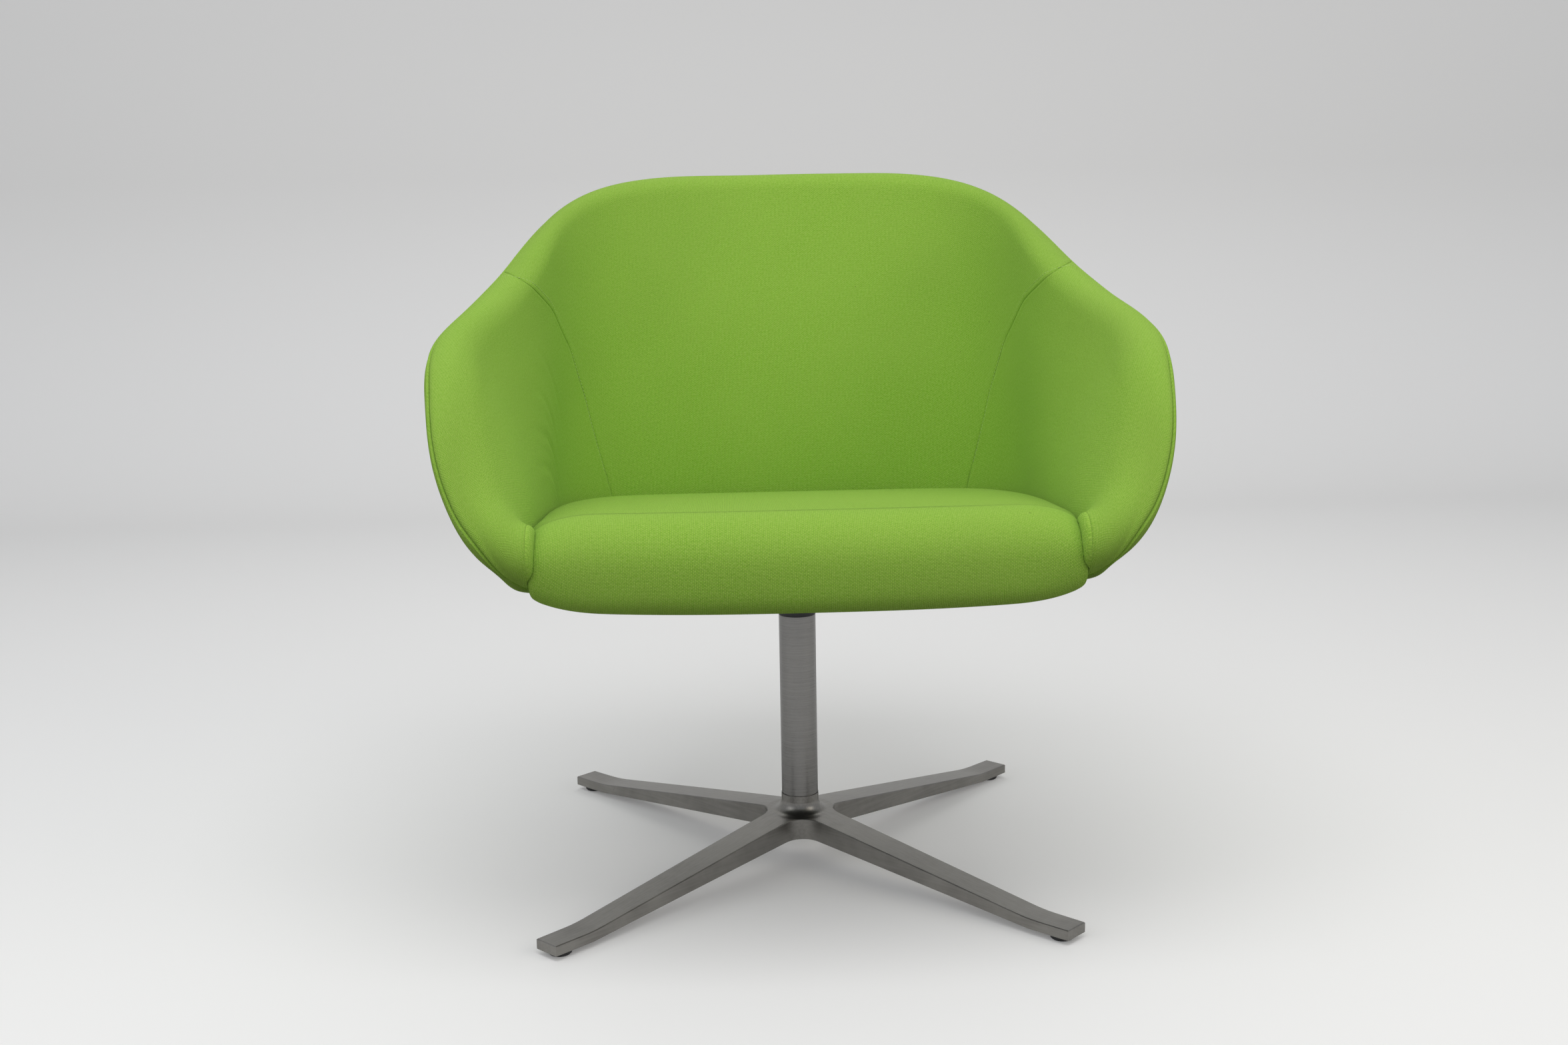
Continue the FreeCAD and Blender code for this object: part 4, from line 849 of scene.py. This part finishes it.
def clear_of_wall(points):
    """Move points that touch the shell's inside back to just clear of it."""
    moved = points.copy()
    for k, p in enumerate(points):
        hit, normal, _, _ = WALL.find_nearest(Vector(p), WALL_NEAR)
        if hit is None or p[1] < ARM_END:
            continue
        off = Vector(p) - hit
        inward = normal if normal.dot(Vector((0.0, INSIDE_Y, p[2])) - Vector(p)) > 0 else -normal
        depth = off.dot(inward)
        if depth < WALL_GAP:
            moved[k] = p + np.array(inward) * (WALL_GAP - depth)
    return moved


def fill_to_wall(points):
    """Widen the cushion's sides until they lie against the arms."""
    moved = points.copy()
    for k, p in enumerate(points):
        wide = abs(p[0]) - (CUSHION_HALF - SIDE_ROUND) * MM
        if wide <= 0:
            continue
        side = math.copysign(1.0, p[0])
        start = Vector((side * RAY_START, p[1], p[2]))
        hit, _, _, far = WALL.ray_cast(start, Vector((side, 0.0, 0.0)), RAY_LENGTH)
        if hit is None:
            continue
        room = min(max(RAY_START + far - WALL_GAP - CUSHION_HALF * MM, 0.0), MOST_ROOM)
        share = wide / (SIDE_ROUND * MM)
        behind = min(max((p[1] - ARM_END) / ARM_END_FADE, 0.0), 1.0)
        moved[k, 0] += side * room * share ** 3 * behind ** 2 * (3 - 2 * behind)
    return moved


# The cushion is held at its sides, on the board and at its back, in metres of the pan frame
HELD_SIDE, HELD_LOW, HELD_FRONT, HELD_BACK = 0.2465, 0.004, -0.292, 0.160
SWELL_FRAMES, SWELL_CAP = 20, 3.0 * MM
SWELL_SETTINGS = {
    "quality": 6, "mass": 0.3, "tension_stiffness": 20.0, "compression_stiffness": 20.0,
    "shear_stiffness": 8.0, "bending_stiffness": 0.6, "vertex_group_mass": "held",
    "use_pressure": True, "uniform_pressure_force": 4.0,
}


def swell(obj):
    """Blow the cushion up a little as cloth, held where it is squeezed in, and keep the result."""
    mesh = obj.data
    count = len(mesh.vertices)
    start = np.empty(count * 3)
    mesh.vertices.foreach_get("co", start)
    start = start.reshape(-1, 3)
    held = obj.vertex_groups.new(name="held")
    above_pan = start[:, 2] - PAN_HEIGHT * MM
    tilted_z = above_pan * TILT_COS + start[:, 1] * TILT_SIN
    tilted_y = start[:, 1] * TILT_COS - above_pan * TILT_SIN
    on_board = (tilted_z < HELD_LOW) & (tilted_y > HELD_FRONT)
    squeezed = (np.abs(start[:, 0]) > HELD_SIDE) | on_board | (tilted_y > HELD_BACK)
    held.add(np.nonzero(squeezed)[0].tolist(), 1.0, "REPLACE")
    cloth = obj.modifiers.new("swell", "CLOTH")
    for key, value in SWELL_SETTINGS.items():
        setattr(cloth.settings, key, value)
    cloth.settings.effector_weights.gravity = 0.0
    cloth.collision_settings.use_collision = False
    scene = bpy.context.scene
    for number in range(1, SWELL_FRAMES + 1):
        scene.frame_set(number)
    graph = bpy.context.evaluated_depsgraph_get()
    end = np.empty(count * 3)
    swollen = obj.evaluated_get(graph).to_mesh()
    swollen.vertices.foreach_get("co", end)
    obj.evaluated_get(graph).to_mesh_clear()
    obj.modifiers.remove(cloth)
    obj.vertex_groups.clear()
    scene.frame_set(1)
    move = end.reshape(-1, 3) - start
    size = np.linalg.norm(move, axis=1, keepdims=True)
    move *= np.minimum(1.0, SWELL_CAP / np.maximum(size, 1e-9))
    mesh.vertices.foreach_set("co", clear_of_wall(start + move).ravel())
    mesh.update()


def make_cushion():
    """The seat cushion: one closed cloth surface between the arms, swollen by its filling."""
    grid = from_pan(cushion_grid())
    n, m = grid.shape[:2]
    flat = clear_of_wall(fill_to_wall(grid.reshape(-1, 3)))
    grid = flat.reshape(n, m, 3)
    around = np.linalg.norm(np.diff(np.concatenate([grid, grid[:, :1]], axis=1), axis=1), axis=2)
    v = np.concatenate([np.zeros((n, 1)), np.cumsum(around, axis=1)[:, :-1]], axis=1)
    u = length_along(grid, 0)
    uvs = np.stack([u.ravel(), v.ravel()], axis=1)
    obj = new_object("seat_cushion", flat, grid_faces(n, m, closed=True), [CUSHION_CLOTH], uvs)
    swell(obj)
    finer = obj.modifiers.new("finer", "SUBSURF")
    finer.levels = finer.render_levels = 1
    return obj


cushion = make_cushion()
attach(cushion, "seat")
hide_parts("seat_cover", "seat_foam")


# Cloth over the shell's two front ends, swollen until it lies against the cushion
CAP_RINGS_IN, CAP_SWELL, CAP_SOFT, CAP_CLEAR, CAP_SIGHT = 16, 7.0 * MM, 11.0 * MM, 0.3 * MM, 50 * MM


def panel_end(piece, rows, last):
    """The points along a panel's first or last edge."""
    verts = piece.data.vertices
    start = len(verts) - len(rows) if last else 0
    return np.array([verts[start + k].co for k in range(len(rows))])


def end_cap(name, arm, last):
    """The cloth over one front end of the shell, as rings from its panels' edges to its middle."""
    rim = np.vstack([panel_end(arm, inner_rows, last), panel_end(outer, outer_rows, last)[1:]])
    middle = rim.mean(axis=0)
    inward = Vector((-math.copysign(1.0, middle[0]), 0.0, 0.0))
    rings = []
    for ring in range(CAP_RINGS_IN):
        line = middle + (rim - middle) * (1 - (ring / CAP_RINGS_IN) ** 2)
        rest = np.maximum(1 - np.linalg.norm(line - rim, axis=1) / CAP_SOFT, 0.0)
        rounding = np.sqrt(1 - rest ** 2)
        for k, point in enumerate(line):
            hit, _, _, far = cushion_tree.ray_cast(Vector(point), inward, CAP_SIGHT)
            room = min(max(far - CAP_CLEAR, 0.0), CAP_SWELL) if hit is not None else CAP_SWELL
            point[0] += inward.x * room * rounding[k]
        rings.append(line)
    grid = np.array(rings)
    n, m = grid.shape[:2]
    tip = grid[-1].mean(axis=0)
    inmost = (n - 1) * m
    faces = grid_faces(n, m, closed=True) + [(inmost + j, inmost + (j + 1) % m, n * m) for j in range(m)]
    verts = np.vstack([grid.reshape(-1, 3), tip])
    cap = new_object(name, verts, faces, [CLOTH], verts[:, 1:])
    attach(cap, "seat")


cushion_tree = BVHTree.FromObject(cushion, bpy.context.evaluated_depsgraph_get())
end_cap("arm_right_end", arm_right, last=False)
end_cap("arm_left_end", arm_left, last=True)


# Inside and under the seat

# The plywood core's ends and thickness, and its depth in mm under the cloth by section row
CORE_START, CORE_THICKNESS, CORE_GRID = 62.0 * MM, 6.0 * MM, (201, 49)
CORE_DEPTHS = ([93.0, 108.0, 128.0, 156.0], [24.0, 18.0, 10.0, 9.2])


def core_shell():
    """The moulded plywood core, set in from the shell's outside and short of its front ends."""
    places = np.linspace(CORE_START, RIM_LENGTH - CORE_START, CORE_GRID[0])
    core_rows = np.linspace(CORE_DEPTHS[0][0], CORE_DEPTHS[0][-1], CORE_GRID[1])
    at, rows = np.meshgrid(places, core_rows, indexing="ij")
    depth = np.interp(rows, *CORE_DEPTHS)[..., None] * MM
    points = on_shell(at, rows) - shell_normal(at, rows) * depth
    core = new_object("plywood_core", points.reshape(-1, 3), grid_faces(*at.shape), [PLYWOOD])
    thicken(core, "plies", CORE_THICKNESS, 0.0)
    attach(core, "seat")
    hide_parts("shell_core")


core_shell()

# The dust cover in mm: its depth under the pan plane, in the middle and at its edge by place from
# front to rear, and a hem that turns up in front of the seat board
HUB_HOLE, DUST_DEPTH, DUST_SAG, DUST_LAP_ROW, DUST_FRONT = 38.0, 28.4, 2.0, 156.0, -289.9
DUST_EDGE_DEPTHS = ([-261.0, -240.0, -212.0, -176.0], [15.3, 20.0, 25.2, 27.9])
DUST_HEM, DUST_HEM_RISE, DUST_HEM_FROM, DUST_HEM_FADE = 1.5, 12.5, -270.0, 15.0
DUST_TURNS, DUST_RINGS, DUST_CORNER, DUST_RISE_FROM, DUST_THICKNESS = 240, 30, 40.0, 0.7, 0.6


def under_pan(reach, turns, depths):
    """A ring of points under the tilted pan plane, from reaches and turns round the column."""
    x, y = reach * np.cos(turns), reach * np.sin(turns)
    return np.stack([x, y, PAN_HEIGHT - y * TILT_TAN - depths], axis=1) * MM


def dust_reach(turns):
    """The dust cover's edge: over the shell's turned-in foot, and straight across the front."""
    at = np.linspace(0.0, RIM_LENGTH, 600)
    edge = on_shell(at, np.full(at.shape, DUST_LAP_ROW)) / MM
    edge_turns = np.mod(np.arctan2(edge[:, 1], edge[:, 0]), 2 * math.pi)
    order = np.argsort(edge_turns)
    reach = np.hypot(edge[:, 0], edge[:, 1])
    over_foot = np.interp(turns, edge_turns[order], reach[order], period=2 * math.pi)
    along = np.sin(turns)
    to_front = np.where(along < 0, DUST_FRONT / np.minimum(along, -1e-6), np.inf)
    return (over_foot ** -DUST_CORNER + to_front ** -DUST_CORNER) ** (-1 / DUST_CORNER)


def dust_cover():
    """Thin cloth stretched under the seat from a round hole for the hub."""
    turns = np.linspace(0, 2 * math.pi, DUST_TURNS, endpoint=False)
    reach = dust_reach(turns)
    edge_y = reach * np.sin(turns)
    edge_depth = np.interp(edge_y, *DUST_EDGE_DEPTHS)
    rings = []
    for ring in np.linspace(0.0, 1.0, DUST_RINGS):
        rise = max(0.0, (ring - DUST_RISE_FROM) / (1 - DUST_RISE_FROM)) ** 2
        depths = DUST_DEPTH + DUST_SAG * math.sin(math.pi * ring) + (edge_depth - DUST_DEPTH) * rise
        rings.append(under_pan(HUB_HOLE + (reach - HUB_HOLE) * ring, turns, depths))
    turned_up = np.clip((DUST_HEM_FROM - edge_y) / DUST_HEM_FADE, 0.0, 1.0) * DUST_HEM_RISE
    rings = np.array(rings + [under_pan(reach + DUST_HEM, turns, edge_depth - turned_up)])
    faces = grid_faces(*rings.shape[:2], closed=True)
    cover = new_object("dust_cover_cloth", rings.reshape(-1, 3), faces, [DUST_CLOTH])
    thicken(cover, "cloth", DUST_THICKNESS * MM, 0.0)
    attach(cover, "seat")
    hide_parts("dust_cover")


dust_cover()


# Floor, light and camera

STAGE_GLOW, STAGE_SINK = 0.13, 0.2 * MM
STAGE_HALF, STAGE_FRONT, STAGE_BEND_AT, STAGE_BEND, STAGE_TOP = 8.0, -6.0, 2.2, 0.8, 5.0
WORLD_COLOUR, WORLD_STRENGTH = (0.92, 0.95, 1.0, 1.0), 0.53


def stage_material(name, seen, bounced):
    """A plain floor: pale where it is seen or mirrored, darker where it only lights the object."""
    m = Nodes(name)
    path = m.add("ShaderNodeLightPath")
    shown = m.math("MAXIMUM", path.outputs["Is Camera Ray"], path.outputs["Is Glossy Ray"])
    shown = m.math("MAXIMUM", shown, path.outputs["Is Transmission Ray"])
    return m.surface({"Base Color": m.mix(shown, bounced, seen), "Roughness": 0.6,
                      "Emission Color": (1.0, 1.0, 1.0, 1.0),
                      "Emission Strength": m.times(shown, STAGE_GLOW)})


def backdrop():
    """A floor that curves up into a wall."""
    profile = [(STAGE_FRONT, 0.0)]
    profile += [(STAGE_BEND_AT + math.sin(a) * STAGE_BEND, STAGE_BEND - math.cos(a) * STAGE_BEND)
                for a in np.linspace(0, math.pi / 2, 13)]
    profile += [(STAGE_BEND_AT + STAGE_BEND, STAGE_TOP)]
    verts = [(x, y, z - STAGE_SINK) for x in (-STAGE_HALF, STAGE_HALF) for y, z in profile]
    n = len(profile)
    faces = [(i, i + 1, n + i + 1, n + i) for i in range(n - 1)]
    floor = stage_material("pale_floor", rgb(236, 235, 233), rgb(128, 124, 118))
    obj = new_object("studio_floor", verts, faces, [floor])


backdrop()
world = bpy.data.worlds.new("soft_room")
bpy.context.scene.world = world
world.use_nodes = True
background = world.node_tree.nodes["Background"]
background.inputs["Color"].default_value = WORLD_COLOUR
background.inputs["Strength"].default_value = WORLD_STRENGTH


def area_light(name, place, target, size, energy, colour=(1.0, 1.0, 1.0)):
    data = bpy.data.lights.new(name, "AREA")
    data.color = colour
    data.shape = "RECTANGLE"
    data.size, data.size_y = size
    data.energy = energy
    obj = bpy.data.objects.new(name, data)
    bpy.context.collection.objects.link(obj)
    obj.location = place
    obj.rotation_euler = (Vector(target) - Vector(place)).to_track_quat("-Z", "Y").to_euler()


area_light("key", (-0.1, -1.0, 2.9), (0.0, 0.0, 0.4), (2.4, 1.6), 34.0)
area_light("fill", (2.4, -1.4, 1.9), (0.0, 0.0, 0.45), (1.6, 1.6), 14.0, (1.0, 0.93, 0.82))
area_light("side", (-2.4, -1.2, 1.7), (0.0, 0.0, 0.45), (1.6, 1.6), 8.0)
area_light("rear", (0.0, 2.0, 2.3), (0.0, 0.0, 0.45), (2.2, 1.2), 8.0)


# The photograph's camera: focal length and frame width in pixels, sensor in mm, angles and place
FOCAL_LENGTH, FRAME_WIDTH, SENSOR_WIDTH, SHIFT = 2645.2, 2352, 36.0, 0.0015
CAMERA_PITCH, CAMERA_ROLL, CAMERA_TURN = 0.1785, -0.0178, math.radians(1.77)
CAMERA_PLACE = Vector((-0.015, -1.8707, 0.7139))


def photo_camera():
    """The camera fitted to the photograph."""
    data = bpy.data.cameras.new("photo_camera")
    obj = bpy.data.objects.new("photo_camera", data)
    bpy.context.collection.objects.link(obj)
    data.sensor_width = SENSOR_WIDTH
    data.lens = FOCAL_LENGTH / FRAME_WIDTH * SENSOR_WIDTH
    data.shift_x = SHIFT
    ahead = Vector((0, math.cos(CAMERA_PITCH), -math.sin(CAMERA_PITCH)))
    right = Vector((1, 0, 0))
    up = Vector((0, math.sin(CAMERA_PITCH), math.cos(CAMERA_PITCH)))
    cos, sin = math.cos(CAMERA_ROLL), math.sin(CAMERA_ROLL)
    spin = Matrix.Rotation(-CAMERA_TURN, 3, "Z")
    axes = spin @ Matrix((cos * right + sin * up, cos * up - sin * right, -ahead)).transposed()
    obj.matrix_world = Matrix.Translation(spin @ CAMERA_PLACE) @ axes.to_4x4()
    bpy.context.scene.camera = obj


photo_camera()
bpy.context.scene.view_settings.view_transform = "Standard"
